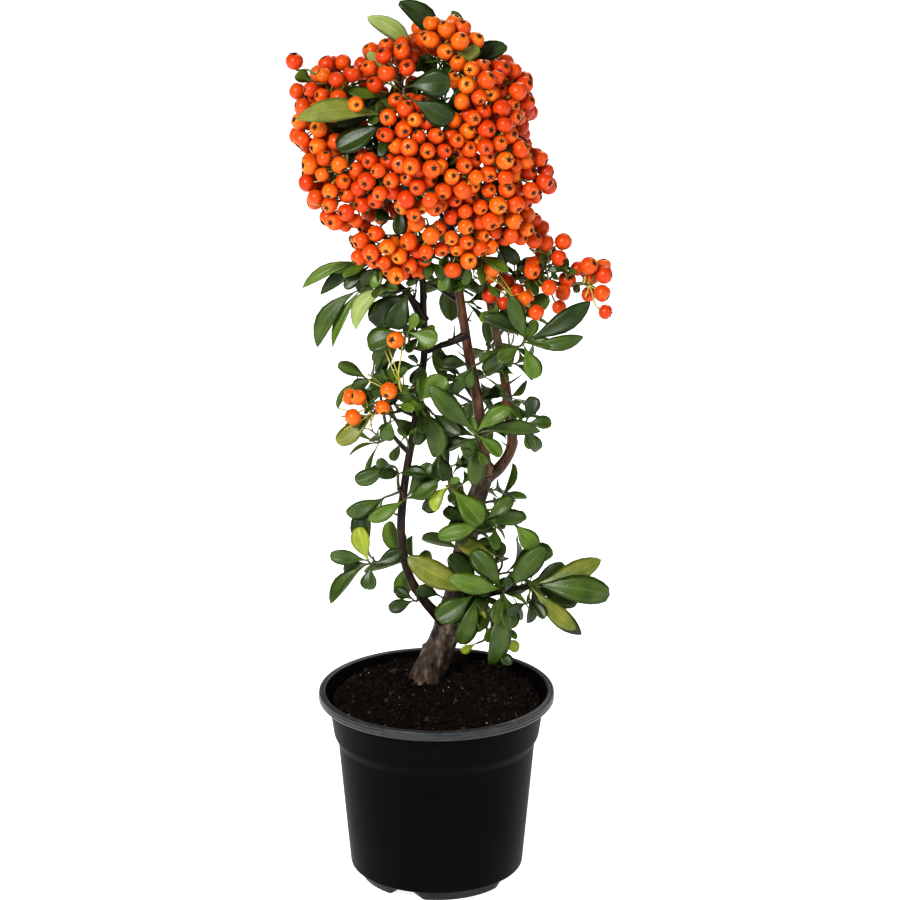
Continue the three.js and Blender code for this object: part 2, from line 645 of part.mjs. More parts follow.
// Grows a mass's twigs from its limb: a stem to the heart of the mass, then a twig to each target
// from the twig point that costs least, by distance, way back to the limb and sharpness of turn.
// Where a twig would clash it bows another way or starts elsewhere, and else it is left out.
function growTwigs({ limb, at }, targets, seed) {
  const { curve, radiusAt: limbRadiusAt } = limbs[limb];
  const root = curve.getPointAt(at);
  const rootBall = ball(root, limbRadiusAt(at) + ROOT_REACH);
  const limbLine = at < 1 ? curve.getTangentAt(at) : null;
  const centroid = new THREE.Vector3();
  for (const target of targets) centroid.addScaledVector(target.place, 1 / targets.length);
  const nodes = [{ place: root, way: 0, forward: centroid.clone().sub(root).normalize() }];
  const twigs = [];
  const routes = new Map();

  function join(node, target, index, [footRadius, tipRadius]) {
    const gap = target.place.distanceTo(node.place);
    const radiusAt = (share) => THREE.MathUtils.lerp(footRadius, tipRadius, share);
    const fatRadiusAt = (share) => radiusAt(share) + CLEAR;
    const twist = 2 * Math.PI * chance(seed, index, 5);
    for (let attempt = 0; attempt < TWIG.tries; attempt++) {
      const bowSide = heading(360 * chance(seed, index, attempt + 10), 20);
      const line = node.way === 0 ? limbLine : null;
      const bow = TWIG.bow + TWIG.moreBow * attempt;
      const route = twigRoute(node.place, line, target, bow, bowSide);
      const steps = stepsFor(route.getLength());
      const fat = taperedTube(route, fatRadiusAt, 3, steps, twist);
      const clash = node.way === 0 ? clashes(fat, limb, fat.subtract(rootBall)) : clashes(fat);
      if (clash) continue;
      twigs.push(taperedTube(route, radiusAt, 3, steps, twist));
      for (const share of TWIG.nodes) {
        const forward = route.getTangentAt(share);
        nodes.push({ place: pointOn(route, share), way: node.way + gap * share, forward });
      }
      routes.set(index, route);
      return true;
    }
    return false;
  }

  if (targets.length > 1) {
    const heart = root.clone().lerp(centroid, HEART_SHARE);
    const along = heart.clone().sub(root).normalize();
    join(nodes[0], { place: heart, along }, targets.length, [TWIG.stemRadius, TWIG.stemTipRadius]);
  }
  const order = targets.map((target, index) => ({ target, index }));
  order.sort((a, b) => a.target.place.distanceTo(root) - b.target.place.distanceTo(root));
  for (const { target, index } of order) {
    const cost = (node) => {
      const way = target.place.clone().sub(node.place);
      const gap = way.length();
      const turn = 1 - way.normalize().dot(node.forward);
      const fine = gap < COST.nearest ? COST.tooNear : 0;
      return gap + COST.way * node.way + COST.turn * turn + fine;
    };
    const grown = nodes.length > 1 ? nodes.slice(1) : nodes;
    const near = grown.sort((a, b) => cost(a) - cost(b)).slice(0, NEAR_NODES);
    const radii = [near[0].way > 0 ? TWIG.footRadius : TWIG.stemRadius, TWIG.tipRadius];
    near.some((node) => join(node, target, index, radii));
  }
  return { twigs, routes };
}

// Joins a mass's pieces, cuts it clear of the limbs and keeps its one connected body.
function joinMass(pieces) {
  let solid = wasm.Manifold.union(pieces);
  for (const hull of hulls) solid = solid.subtract(hull);
  return largestPiece(solid);
}

// ---------------------------------------------------------------- leaves

// The leaves of one shoot stand round its line at even turns, a little uneven by the seed, and
// are set one behind the other down the twig. Each shows its upper face to the sky, away from
// the middle of the plant and towards the shoot's line.
function rosette([at, azimuth, elevation, count, length, spread, turn], route, seed) {
  const along = heading(azimuth, elevation);
  const side = new THREE.Vector3().crossVectors(new THREE.Vector3(0, 0, 1), along).normalize();
  const top = new THREE.Vector3().crossVectors(along, side);
  const outward = point(at).sub(CROWN_AXIS).setZ(0).normalize();
  const uneven = count > 1 ? 1 : 0;
  const leaves = [];
  for (let i = 0; i < count; i++) {
    const clock = THREE.MathUtils.degToRad(
      turn + (360 * i) / count + uneven * ROSETTE.unevenTurn * (chance(seed, i, 1) - 0.5));
    const wider = uneven * ROSETTE.unevenSpread * (chance(seed, i, 2) - 0.5);
    const open = THREE.MathUtils.degToRad(spread * (1 + wider));
    const direction = along.clone().multiplyScalar(Math.cos(open))
      .addScaledVector(top, Math.sin(open) * Math.cos(clock))
      .addScaledVector(side, Math.sin(open) * Math.sin(clock));
    const face = outward.clone().multiplyScalar(ROSETTE.outward)
      .add(new THREE.Vector3(0, 0, ROSETTE.up))
      .addScaledVector(along, ROSETTE.along)
      .addScaledVector(side, ROSETTE.aside * (chance(seed, i, 3) - 0.5));
    face.addScaledVector(direction, -face.dot(direction)).normalize();
    const behind = Math.min((0.5 + LEAF.spacing * i) / route.getLength(), MOST_BEHIND);
    leaves.push({
      base: pointOn(route, 1 - behind).addScaledVector(direction, -LEAF.sunk),
      along: direction,
      face,
      length: length * (1 - ROSETTE.shorter * uneven * chance(seed, i, 4)),
    });
  }
  return leaves;
}

function buildLeafMass(name, mass, seed) {
  const targets = mass.shoots.map(([at, azimuth, elevation]) => (
    { place: point(at), along: heading(azimuth, elevation) }));
  const { twigs, routes } = growTwigs(mass, targets, seed);
  const pieces = [...twigs];
  mass.shoots.forEach((shoot, index) => {
    if (!routes.has(index)) return;
    for (const leaf of rosette(shoot, routes.get(index), 40 * seed + index)) {
      const tip = leaf.base.clone().addScaledVector(leaf.along, leaf.length);
      if (!SPACE.containsPoint(tip) || clashes(leafSolid(leaf, CLEAR))) continue;
      pieces.push(leafSolid(leaf));
    }
  });
  place(name, joinMass(pieces), leafGreen);
}

// ---------------------------------------------------------------- fruit

const GOLDEN_ANGLE = Math.PI * (3 - Math.sqrt(5));

// A bunch faces away from the heart of the crown. Its twig ends at its foot, and the berries
// stand in a dome round its centre, on even spiral places.
function bunch([at, radius, count]) {
  const centre = point(at);
  const along = centre.clone().sub(CROWN_HEART).multiply(new THREE.Vector3(1, 1, BUNCH.flatness));
  along.normalize();
  const turned = new THREE.Quaternion().setFromUnitVectors(new THREE.Vector3(0, 0, 1), along);
  const shown = Math.max(BERRY.fewest, Math.round(count * BERRY.shareOfCount));
  const berries = [];
  for (let i = 0; i < shown; i++) {
    const height = 1 - (BUNCH.domeDepth * (i + 0.5)) / shown;
    const wide = Math.sqrt(1 - height * height);
    const clock = GOLDEN_ANGLE * i;
    const spot = new THREE.Vector3(wide * Math.cos(clock), wide * Math.sin(clock), height);
    spot.applyQuaternion(turned).multiplyScalar(radius - BERRY.radius);
    berries.push(spot.add(centre));
  }
  const foot = centre.clone().addScaledVector(along, -BUNCH.footShare * radius);
  return { place: foot, along, berries };
}

function buildFruitMass(name, mass, seed) {
  const bunches = mass.bunches.map(bunch);
  const { twigs, routes } = growTwigs(mass, bunches, seed);
  const pieces = [...twigs];
  bunches.forEach(({ berries }, index) => {
    if (!routes.has(index)) return;
    const route = routes.get(index);
    berries.forEach((berry, i) => {
      const behind = Math.min((0.5 + STALK.spacing * i) / route.getLength(), MOST_BEHIND);
      const foot = pointOn(route, 1 - behind);
      const back = foot.clone().sub(berry).normalize();
      const line = new THREE.LineCurve3(foot, berry.clone().addScaledVector(back, 0.5 * BERRY.radius));
      const { footRadius, tipRadius } = STALK;
      const twist = 2 * Math.PI * chance(seed, 20 * index + i, 6);
      const stalk = (extra) => taperedTube(
        line, (share) => THREE.MathUtils.lerp(footRadius, tipRadius, share) + extra, 3, 1, twist);
      if (clashes(berrySolid(berry, back, BERRY.radius + CLEAR)) || clashes(stalk(CLEAR))) return;
      pieces.push(berrySolid(berry, back, BERRY.radius), stalk(0));
    });
  });
  place(name, joinMass(pieces), fruitOrange);
}

// ---------------------------------------------------------------- the whole plant

buildPot();
buildSoil();
let seed = 0;
for (const [name, limb] of Object.entries(LIMBS)) buildLimb(name, limb, ++seed);
for (const [name, mass] of Object.entries(CROWN_LEAVES)) buildLeafMass(name, mass, ++seed);
for (const [name, mass] of Object.entries(FRUIT)) buildFruitMass(name, mass, ++seed);
for (const [name, mass] of Object.entries(LEAVES)) buildLeafMass(name, mass, ++seed);

export default plant;
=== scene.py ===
# %% [markdown]
# # A young firethorn in its nursery pot
# The plant is a leaning trunk that forks into a few slim stems. Rosettes of small leathery leaves
# stand on short twigs all the way up, and the top carries domed bunches of orange berries. The
# solids of the plant are loaded first as a fixed frame, and every piece below takes the place of
# some of them, in the same frame. All tables are in millimetres, and meshes are made in metres.

import bpy
import numpy as np
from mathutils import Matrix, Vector


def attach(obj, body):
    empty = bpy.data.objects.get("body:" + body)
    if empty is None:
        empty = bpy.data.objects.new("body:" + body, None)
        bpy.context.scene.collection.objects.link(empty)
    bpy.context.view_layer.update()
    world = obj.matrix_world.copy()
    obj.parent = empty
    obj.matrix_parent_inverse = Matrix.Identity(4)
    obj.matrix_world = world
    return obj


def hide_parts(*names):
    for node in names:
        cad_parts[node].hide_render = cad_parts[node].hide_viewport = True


MM = 0.001
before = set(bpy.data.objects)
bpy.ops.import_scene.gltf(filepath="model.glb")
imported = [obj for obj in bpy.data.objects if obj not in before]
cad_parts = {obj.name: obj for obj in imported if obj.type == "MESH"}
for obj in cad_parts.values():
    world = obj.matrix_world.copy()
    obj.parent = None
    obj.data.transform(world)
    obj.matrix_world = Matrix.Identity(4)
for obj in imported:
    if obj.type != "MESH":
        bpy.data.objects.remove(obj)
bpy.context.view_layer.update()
scene = bpy.context.scene

# %% [markdown]
# ## Camera
# A potted plant is usually shown with a long lens from a little above, so that the soil shows as a
# flat oval and the stems stay upright. A short lens close by would swell the berries in front. The
# camera stands 1.9 m away, looks 17 degrees down, and its focal length frames the plant's height.

# %% Camera
CAMERA_PLACE = (0, -1.9, 0.8616)  # metres
CAMERA_PITCH, CAMERA_TURN = 17.43, -0.2415  # degrees
CAMERA_LENS = 137.27  # mm, on a sensor 36 mm wide
camera = bpy.data.objects.new("camera", bpy.data.cameras.new("camera"))
camera.location = CAMERA_PLACE
camera.rotation_euler = np.radians((90 - CAMERA_PITCH, 0, CAMERA_TURN))
camera.data.sensor_width = 36
camera.data.lens = CAMERA_LENS
camera.data.clip_end = 50
scene.collection.objects.link(camera)
scene.camera = camera
print("lens:", round(camera.data.lens, 2), "mm")

# %% [markdown]
# ## Floor and light
# A pale floor that runs far back fills the whole view, so no horizon cuts behind the plant. The
# light is that of a studio: a bright even surround for the floor, one large soft lamp up at the
# left front that gives the berries and the glossy leaves their highlights, a weaker one at the
# right, and one behind that lights the rims of leaves and pot.


# %% Floor
def set_inputs(node, **values):
    """Sets the input sockets of a node by name, with _ for each space."""
    for socket, value in values.items():
        node.inputs[socket.replace("_", " ")].default_value = value


floor_mesh = bpy.data.meshes.new("floor")
floor_mesh.from_pydata([(-8, -4, 0), (8, -4, 0), (8, 14, 0), (-8, 14, 0)], [], [(0, 1, 2, 3)])
floor = bpy.data.objects.new("floor", floor_mesh)
scene.collection.objects.link(floor)
paper = bpy.data.materials.new("pale_floor")
paper.use_nodes = True
set_inputs(
    paper.node_tree.nodes["Principled BSDF"], Base_Color=(0.8, 0.8, 0.8, 1), Roughness=0.9,
    Specular_IOR_Level=0, Emission_Color=(1, 1, 1, 1), Emission_Strength=0.74,
)
floor_mesh.materials.append(paper)
print("floor:", len(floor_mesh.vertices), "corners")

# %% Light: name, place, aim and size in metres, power in watts
LAMPS = [
    ("key_lamp", (-0.9, -1.6, 1.5), (0, 0, 0.3), 0.6, 46),
    ("fill_lamp", (1.5, -1.2, 0.9), (0, 0, 0.3), 0.8, 8),
    ("back_lamp", (0.5, 1.6, 1.6), (0, 0, 0.4), 0.8, 12),
]
for name, place, aim, size, power in LAMPS:
    lamp = bpy.data.objects.new(name, bpy.data.lights.new(name, "AREA"))
    lamp.data.size = size
    lamp.data.energy = power
    lamp.location = place
    lamp.rotation_euler = (Vector(aim) - Vector(place)).to_track_quat("-Z", "Y").to_euler()
    scene.collection.objects.link(lamp)
world = bpy.data.worlds.new("studio")
world.use_nodes = True
set_inputs(world.node_tree.nodes["Background"], Color=(1, 1, 1, 1), Strength=0.2)
scene.world = world
scene.view_settings.view_transform = "Standard"
scene.view_settings.look = "Medium High Contrast"
print("lamps:", len(LAMPS))

# %% [markdown]
# ## From surfaces to meshes
# Nearly every piece is a surface worked out on a grid: one direction runs along it and one round it.
# Modelling tools could push such shapes by hand, but a formula keeps hundreds of twigs, leaves and
# berries alike and lets each differ a little. A few helpers serve them all. Two number the corners
# of the faces, the third puts points and faces into a mesh that rides on the frame, and the last
# does all of it for any number of grids.


# %% Faces of grids
def repeat_faces(faces, count, points_each):
    """The same faces for count copies of a shape, whose points follow one another."""
    return (faces[None] + np.arange(count)[:, None, None] * points_each).reshape(-1, faces.shape[1])


def grid_faces(count, rows, columns):
    """Faces of count grids of rows x columns points: quads between the rows, whose last column
    meets the first, and fans of triangles that close both ends. All face outwards."""
    row, column = np.arange(rows - 1)[:, None], np.arange(columns)[None, :]
    below, above, beside = row * columns, (row + 1) * columns, (column + 1) % columns
    quads = np.stack([below + column, below + beside, above + beside, above + column], -1)
    fan = np.stack([np.zeros(columns - 2, int), np.arange(1, columns - 1), np.arange(2, columns)], -1)
    fans = np.vstack([fan[:, ::-1], fan + (rows - 1) * columns])
    return [repeat_faces(faces, count, rows * columns) for faces in (quads.reshape(-1, 4), fans)]


print("faces of a grid of 3 x 4 points:", [len(faces) for faces in grid_faces(1, 3, 4)])


# %% Meshes from points and faces
def build(name, points, quads, triangles, materials, kinds, smooth=True):
    """A mesh object from points in mm, quads and triangles. kinds gives each face its material."""
    mesh = bpy.data.meshes.new(name)
    corners = np.concatenate([quads.ravel(), triangles.ravel()]).astype(np.int32)
    sides = np.concatenate([np.full(len(quads), 4), np.full(len(triangles), 3)]).astype(np.int32)
    mesh.vertices.add(len(points))
    mesh.vertices.foreach_set("co", (points * MM).astype(np.float32).ravel())
    mesh.loops.add(len(corners))
    mesh.loops.foreach_set("vertex_index", corners)
    mesh.polygons.add(len(sides))
    mesh.polygons.foreach_set("loop_start", (np.cumsum(sides) - sides).astype(np.int32))
    mesh.polygons.foreach_set("loop_total", sides)
    mesh.polygons.foreach_set("material_index", kinds.astype(np.int32))
    mesh.update(calc_edges=True)
    mesh.polygons.foreach_set("use_smooth", np.full(len(sides), smooth))
    for material in materials:
        mesh.materials.append(material)
    mesh.validate()
    piece = bpy.data.objects.new(name, mesh)
    scene.collection.objects.link(piece)
    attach(piece, "root")
    print(f"{name}: {int((sides - 2).sum())} triangles")
    return piece


def build_grids(name, points, materials, kinds=0, end_kinds=0):
    """Closed grids in one mesh. points is copies x rows x columns x 3. The materials in kinds
    spread over copies x strips x columns, and those in end_kinds over the fans of each copy."""
    copies, rows, columns = points.shape[:3]
    quads, fans = grid_faces(copies, rows, columns)
    quad_kinds = np.broadcast_to(kinds, (copies, rows - 1, columns)).ravel()
    fan_kinds = np.broadcast_to(end_kinds, (copies, len(fans) // copies)).ravel()
    kinds = np.concatenate([quad_kinds, fan_kinds])
    return build(name, points.reshape(-1, 3), quads, fans, materials, kinds)


print("meshes before the first piece:", len(bpy.data.meshes))

# %% [markdown]
# ## Unevenness
# Nothing on a plant is even, but every run should give the same plant. So chance is a fixed function
# of a seed. Value noise takes it further and gives every point of space a number: the corners of a
# lattice get repeatable numbers, and between them the numbers are mixed smoothly. Adding the same
# noise at half the size and half the strength, a few times, gives lumps with finer lumps on them.
# Doing it here, and not only in a material, gives bark and soil a real outline.

# %% Chance
SCATTER = np.array([127.1, 311.7, 74.7])
WAVE_HEIGHT = 43758.5453


def left_over(phase):
    """A number from 0 to 1 that looks random: what stands after the point of a very tall sine."""
    wave = np.sin(phase) * WAVE_HEIGHT
    return wave - np.floor(wave)


def chance(seed, index, channel):
    """A repeatable number from 0 to 1 for three whole numbers or arrays of them."""
    return left_over(seed * SCATTER[0] + index * SCATTER[1] + channel * SCATTER[2])


print("four numbers by chance:", np.round(chance(1, np.arange(4), 1), 2))


# %% Noise
def smooth_step(t):
    """From 0 to 1 with level ends: t squared times three less twice t."""
    return t * t * (3 - 2 * t)


def noise(points, seed):
    """Numbers from 0 to 1 at points: lattice numbers mixed by the smooth step of the remainder."""
    cell = np.floor(points)
    part = smooth_step(points - cell)
    total = np.zeros(points.shape[:-1])
    for corner in np.ndindex(2, 2, 2):
        weight = np.prod(np.where(np.array(corner) == 1, part, 1 - part), axis=-1)
        total += weight * left_over((cell + corner) @ SCATTER + seed * 17.3)
    return total


def lumps(points, size, seed, octaves=3):
    """Noise of a lump size in mm with finer noise added, centred on 0, about -0.5 to 0.5."""
    total = np.zeros(points.shape[:-1])
    for octave in range(octaves):
        total += (noise(points / size * 2**octave, seed + octave) - 0.5) / 2**octave
    return total / 1.5


print("noise at the origin:", round(float(noise(np.zeros((1, 3)), 1)[0]), 3))

# %% [markdown]
# ## Materials
# Every finish is a Principled shader with plain values for gloss, and a pattern that mixes its
# colours. The pattern is noise on Object coordinates, so it is fixed to the plant, and a Mapping
# node stretches it, as on bark that is streaked lengthwise. The same kind of noise, finer, drives a
# Bump node. A picture of a surface would do too, but a pattern has no edges and no fixed size.

# %% Material helper
BUMP_DEPTH = 0.0004  # metres


def finish(name, colours, size, stretch=(1, 1, 1), roughness=0.6, bump=0.2, fine=4.0, shine=0.5):
    """A shader whose colours, dark to pale, follow noise of a size in mm, with finer bumps. shine
    is how strongly it mirrors the light."""
    material = bpy.data.materials.new(name)
    material.use_nodes = True
    tree = material.node_tree
    shader = tree.nodes["Principled BSDF"]
    place, mapping, pattern, ramp, grain, relief = (
        tree.nodes.new("ShaderNode" + kind)
        for kind in ("TexCoord", "Mapping", "TexNoise", "ValToRGB", "TexNoise", "Bump"))
    set_inputs(shader, Roughness=roughness, Specular_IOR_Level=shine)
    set_inputs(mapping, Scale=stretch)
    set_inputs(pattern, Scale=1 / (size * MM), Detail=3)
    set_inputs(grain, Scale=fine / (size * MM))
    set_inputs(relief, Strength=bump, Distance=BUMP_DEPTH)
    for _ in colours[2:]:
        ramp.color_ramp.elements.new(0.5)
    stops = np.linspace(0.3, 0.7, len(colours))
    for element, stop, colour in zip(ramp.color_ramp.elements, stops, colours):
        element.position = stop
        element.color = (*colour, 1)
    for source, output, target, socket in (
        (place, "Object", mapping, "Vector"), (mapping, "Vector", pattern, "Vector"),
        (mapping, "Vector", grain, "Vector"), (pattern, "Fac", ramp, "Fac"),
        (grain, "Fac", relief, "Height"), (ramp, "Color", shader, "Base Color"),
        (relief, "Normal", shader, "Normal"),
    ):
        tree.links.new(source.outputs[output], target.inputs[socket])
    return material


print("depth of the bumps:", BUMP_DEPTH / MM, "mm")

# %% [markdown]
# ## The pot
# A nursery pot is blown or moulded in thin black plastic: a slightly flared wall, a shoulder near
# the top where pots stack, a rolled rim with fine grooves, and a foot ring cut by drain notches.
# It is a profile carried round the axis. Each corner of the profile is rounded first, because real
# plastic has no knife edge and the rounding is what catches the light. Booleans could cut the
# notches, but lifting the foot where a notch is keeps the surface one clean grid.

# %% Profile of the pot: radius and height, from the underside up the outside and down the inside
POT_PROFILE = np.array([
    (1, 0), (24, 0), (36, 0), (45, 0), (46.6, 5.8), (51.4, 7.6), (54.2, 38), (58.4, 85), (60.9, 90),
    (63.9, 110.6), (69.0, 111), (69.9, 112.4), (69.5, 113.4), (69.95, 114.4), (69.5, 115.4),
    (69.7, 116.2), (68.9, 116.9), (68.2, 116.4), (67.4, 116.9), (66.2, 116.8), (65.4, 115.6),
    (62.6, 110), (59.6, 90), (57.1, 85), (50.1, 8), (1, 8),
])
CORNER_CUT = 1.2


def rounded(profile, reach, steps=4):
    """Swaps each inner corner for a parabola that starts and ends up to reach from it."""
    before, corner, after = profile[:-2], profile[1:-1], profile[2:]
    back, on = before - corner, after - corner
    back_length = np.linalg.norm(back, axis=1, keepdims=True)
    on_length = np.linalg.norm(on, axis=1, keepdims=True)
    cut = np.minimum(reach, 0.45 * np.minimum(back_length, on_length))
    t = np.linspace(0, 1, steps)[None, :, None]
    start, end = corner + back / back_length * cut, corner + on / on_length * cut
    arcs = (1 - t) ** 2 * start[:, None] + 2 * t * (1 - t) * corner[:, None] + t**2 * end[:, None]
    return np.vstack([profile[:1], arcs.reshape(-1, 2), profile[-1:]])


print("profile:", len(POT_PROFILE), "points, rounded:", len(rounded(POT_PROFILE, CORNER_CUT)))

# %% Turning the profile, and the drain notches
NOTCHES, NOTCH_TURN, NOTCH_LIFT, NOTCH_INNER_RADIUS = 4, 1.15, 5.6, 30
NOTCH_FOOT, NOTCH_TOP = 0.245, 0.08  # half widths in radians


def turned(profile, columns):
    """A profile of radius and height carried round the axis: points on rows of the profile."""
    angle = np.linspace(0, 2 * np.pi, columns, endpoint=False)
    radius, height = profile[:, :1], profile[:, 1:]
    return np.stack([radius * np.cos(angle), radius * np.sin(angle), height + 0 * angle], -1)


def lift_notches(shell):
    """Raises what lies low near the foot's edge, fully at a drain notch's top, less on its slopes."""
    angle = np.arctan2(shell[..., 1], shell[..., 0])
    radius = np.hypot(shell[..., 0], shell[..., 1])
    step = 2 * np.pi / NOTCHES
    aside = np.abs((angle - NOTCH_TURN + step / 2) % step - step / 2)
    slope = np.clip((NOTCH_FOOT - aside) / (NOTCH_FOOT - NOTCH_TOP), 0, 1)
    shell[..., 2] += np.clip(NOTCH_LIFT - shell[..., 2], 0, None) * slope * (radius > NOTCH_INNER_RADIUS)
    return shell


print("notches:", NOTCHES, "each", NOTCH_LIFT, "mm high")

# %% Pot
POT_COLUMNS = 240
RIM_HEIGHT, RIM_INNER_RADIUS = 111.3, 65.8
FOOT_HEIGHT, FOOT_INNER_RADIUS, FOOT_OUTER_RADIUS = 6, 44, 46.8
pot_finishes = [
    finish("black_nursery_plastic", [(0.0027, 0.0028, 0.0029), (0.0037, 0.0038, 0.004)],
           size=30, roughness=0.45, bump=0.04, fine=30, shine=0.03),
    # The rim is paler grey partly from wear and partly as a painted highlight where the light catches the
    # lip.
    finish("worn_rim_plastic_with_painted_highlight", [(0.016, 0.017, 0.018), (0.038, 0.039, 0.041)],
           size=6, stretch=(1, 1, 3), roughness=0.38, bump=0.1, fine=5, shine=0.35),
    # The foot ring is painted lighter grey than the wall: painted light, as if the lamps lit the foot band.
    finish("painted_light_foot_plastic", [(0.006, 0.006, 0.0062), (0.016, 0.016, 0.0165)],
           size=8, roughness=0.45, bump=0.06, fine=12, shine=0.2),
]
shell = lift_notches(turned(rounded(POT_PROFILE, CORNER_CUT), POT_COLUMNS))
beside = np.roll(shell, -1, axis=1)
middles = (shell[:-1] + beside[:-1] + beside[1:] + shell[1:]) / 4
reach = np.hypot(middles[..., 0], middles[..., 1])
on_rim = (middles[..., 2] > RIM_HEIGHT) & (reach > RIM_INNER_RADIUS)
# The faces of the foot band, which take the painted light.
on_foot = (middles[..., 2] < FOOT_HEIGHT) & (reach > FOOT_INNER_RADIUS) & (reach < FOOT_OUTER_RADIUS)
pot = build_grids("pot_shell", shell[None], pot_finishes, kinds=on_rim + 2 * on_foot)
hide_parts("pot")

# %% [markdown]
# ## The compost
# Moist peat is nearly black, with fibres and crumbs that stand up everywhere, a few red-brown bits
# of bark and pale grains of sand. The surface is a disc whose height is noise, highest round the
# trunk and at the back. A flat disc with a bumpy material would look like a mat, so a few thousand
# small crumbs, each a twenty-faced lump squeezed at random, are strewn on it in one go.

# %% Compost surface
SOIL_COLUMNS, SOIL_ROWS, SOIL_RADIUS, SOIL_LEVEL = 220, 70, 61.2, 111.8
SOIL_SKIRT = np.array([(SOIL_RADIUS, 104), (56, 84), (49, 9), (2, 9)])
SINK_RADIUS, SINK_WIDTH, SINK_DEPTH = 50, 11, 1.8
BANK_START, BANK_WIDTH, BANK_HEIGHT = 5, 50, 3
HEAP_X, HEAP_Y, HEAP_HEIGHT = -7, 26, 1.6


def soil_height(x, y):
    """Height in mm: level, sinking to the wall, banked up at the back by a smooth step, heaped up at
    the trunk by a bell of 16 by 14 mm, with lumps of 10 and 3 mm."""
    wall = np.clip((np.hypot(x, y) - SINK_RADIUS) / SINK_WIDTH, 0, 1)
    level = SOIL_LEVEL - SINK_DEPTH * wall**1.5
    level = level + BANK_HEIGHT * smooth_step(np.clip((y - BANK_START) / BANK_WIDTH, 0, 1))
    heap = HEAP_HEIGHT * np.exp(-(((x - HEAP_X) / 16) ** 2) - ((y - HEAP_Y) / 14) ** 2)
    flat = np.stack([x, y, 0 * x], -1)
    return level + heap + 4 * lumps(flat, 10, 3) + 1.8 * lumps(flat, 3, 9, 2)


ring = np.sqrt(np.linspace(0.0004, 1, SOIL_ROWS)) * SOIL_RADIUS
disc = turned(np.column_stack([ring, 0 * ring]), SOIL_COLUMNS)
disc[..., 2] = soil_height(disc[..., 0], disc[..., 1])
soil_grid = np.concatenate([turned(SOIL_SKIRT, SOIL_COLUMNS)[::-1], disc[::-1]])
peat = finish(
    "moist_peat", [(0.0025, 0.0016, 0.001), (0.0078, 0.0044, 0.0026), (0.019, 0.0105, 0.0056)],
    size=3, roughness=0.95, bump=0.7, fine=5, shine=0.1,
)
soil = build_grids("compost", soil_grid[None], [peat])
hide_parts("soil")

# %% A crumb: a twenty-faced lump, and ways to turn it
GOLDEN = (1 + 5**0.5) / 2
CRUMB_POINTS = np.array(
    [(-1, GOLDEN, 0), (1, GOLDEN, 0), (-1, -GOLDEN, 0), (1, -GOLDEN, 0), (0, -1, GOLDEN), (0, 1, GOLDEN),
     (0, -1, -GOLDEN), (0, 1, -GOLDEN), (GOLDEN, 0, -1), (GOLDEN, 0, 1), (-GOLDEN, 0, -1), (-GOLDEN, 0, 1)]
) / 1.9
CRUMB_FACES = np.array([
    (0, 11, 5), (0, 5, 1), (0, 1, 7), (0, 7, 10), (0, 10, 11), (1, 5, 9), (5, 11, 4), (11, 10, 2),
    (10, 7, 6), (7, 1, 8), (3, 9, 4), (3, 4, 2), (3, 2, 6), (3, 6, 8), (3, 8, 9), (4, 9, 5),
    (2, 4, 11), (6, 2, 10), (8, 6, 7), (9, 8, 1),
])
NO_QUADS = np.zeros((0, 4), int)


def random_turns(count, draw):
    """Rotation matrices from random unit quaternions."""
    turns = draw.normal(size=(count, 4))
    w, x, y, z = (turns / np.linalg.norm(turns, axis=1, keepdims=True)).T
    return np.stack([
        np.stack([1 - 2 * (y * y + z * z), 2 * (x * y - z * w), 2 * (x * z + y * w)], -1),
        np.stack([2 * (x * y + z * w), 1 - 2 * (x * x + z * z), 2 * (y * z - x * w)], -1),
        np.stack([2 * (x * z - y * w), 2 * (y * z + x * w), 1 - 2 * (x * x + y * y)], -1),
    ], 1)


print("lump:", len(CRUMB_POINTS), "points and", len(CRUMB_FACES), "faces")

# %% Crumbs strewn on the compost
CRUMBS, CRUMB_REACH, SAND = 3600, 60, 3
CRUMB_SHARES = [0.7, 0.23, 0.055, 0.015]  # dark, brown, red bark, sand
draw = np.random.default_rng(11)
radius = CRUMB_REACH * np.sqrt(draw.random(CRUMBS))
angle = 2 * np.pi * draw.random(CRUMBS)
x, y = radius * np.cos(angle), radius * np.sin(angle)
crumb_kind = draw.choice(len(CRUMB_SHARES), CRUMBS, p=CRUMB_SHARES)
size = 0.4 + 1.1 * draw.random(CRUMBS) ** 2.5
size = np.where(crumb_kind == SAND, 0.22 + 0.3 * draw.random(CRUMBS), size)[:, None]
squeeze = draw.uniform(0.6, 1.3, (CRUMBS, 3)) * size
squeeze[:, 0] *= np.where(draw.random(CRUMBS) < 0.15, 2.2, 1)  # fibres
centre = np.stack([x, y, soil_height(x, y) + 0.25 * size[:, 0]], -1)
crumbs = np.einsum("nij,nvj->nvi", random_turns(CRUMBS, draw), CRUMB_POINTS * squeeze[:, None])
crumb_finishes = [
    finish("dark_crumb", [(0.002, 0.0013, 0.0008), (0.007, 0.0038, 0.0025)], size=2, roughness=0.9,
           shine=0.12),
    finish("brown_crumb", [(0.008, 0.004, 0.002), (0.018, 0.009, 0.005)], size=2, roughness=0.9,
           shine=0.12),
    finish("red_bark_crumb", [(0.022, 0.008, 0.004), (0.045, 0.016, 0.007)], size=2, roughness=0.85),
    finish("sand_grain", [(0.25, 0.2, 0.14), (0.45, 0.4, 0.3)], size=1, roughness=0.4),
]
strewn = build(
    "compost_crumbs", (crumbs + centre[:, None]).reshape(-1, 3), NO_QUADS,
    repeat_faces(CRUMB_FACES, CRUMBS, len(CRUMB_POINTS)), crumb_finishes,
    np.repeat(crumb_kind, len(CRUMB_FACES)), smooth=False,
)
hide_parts("soil")

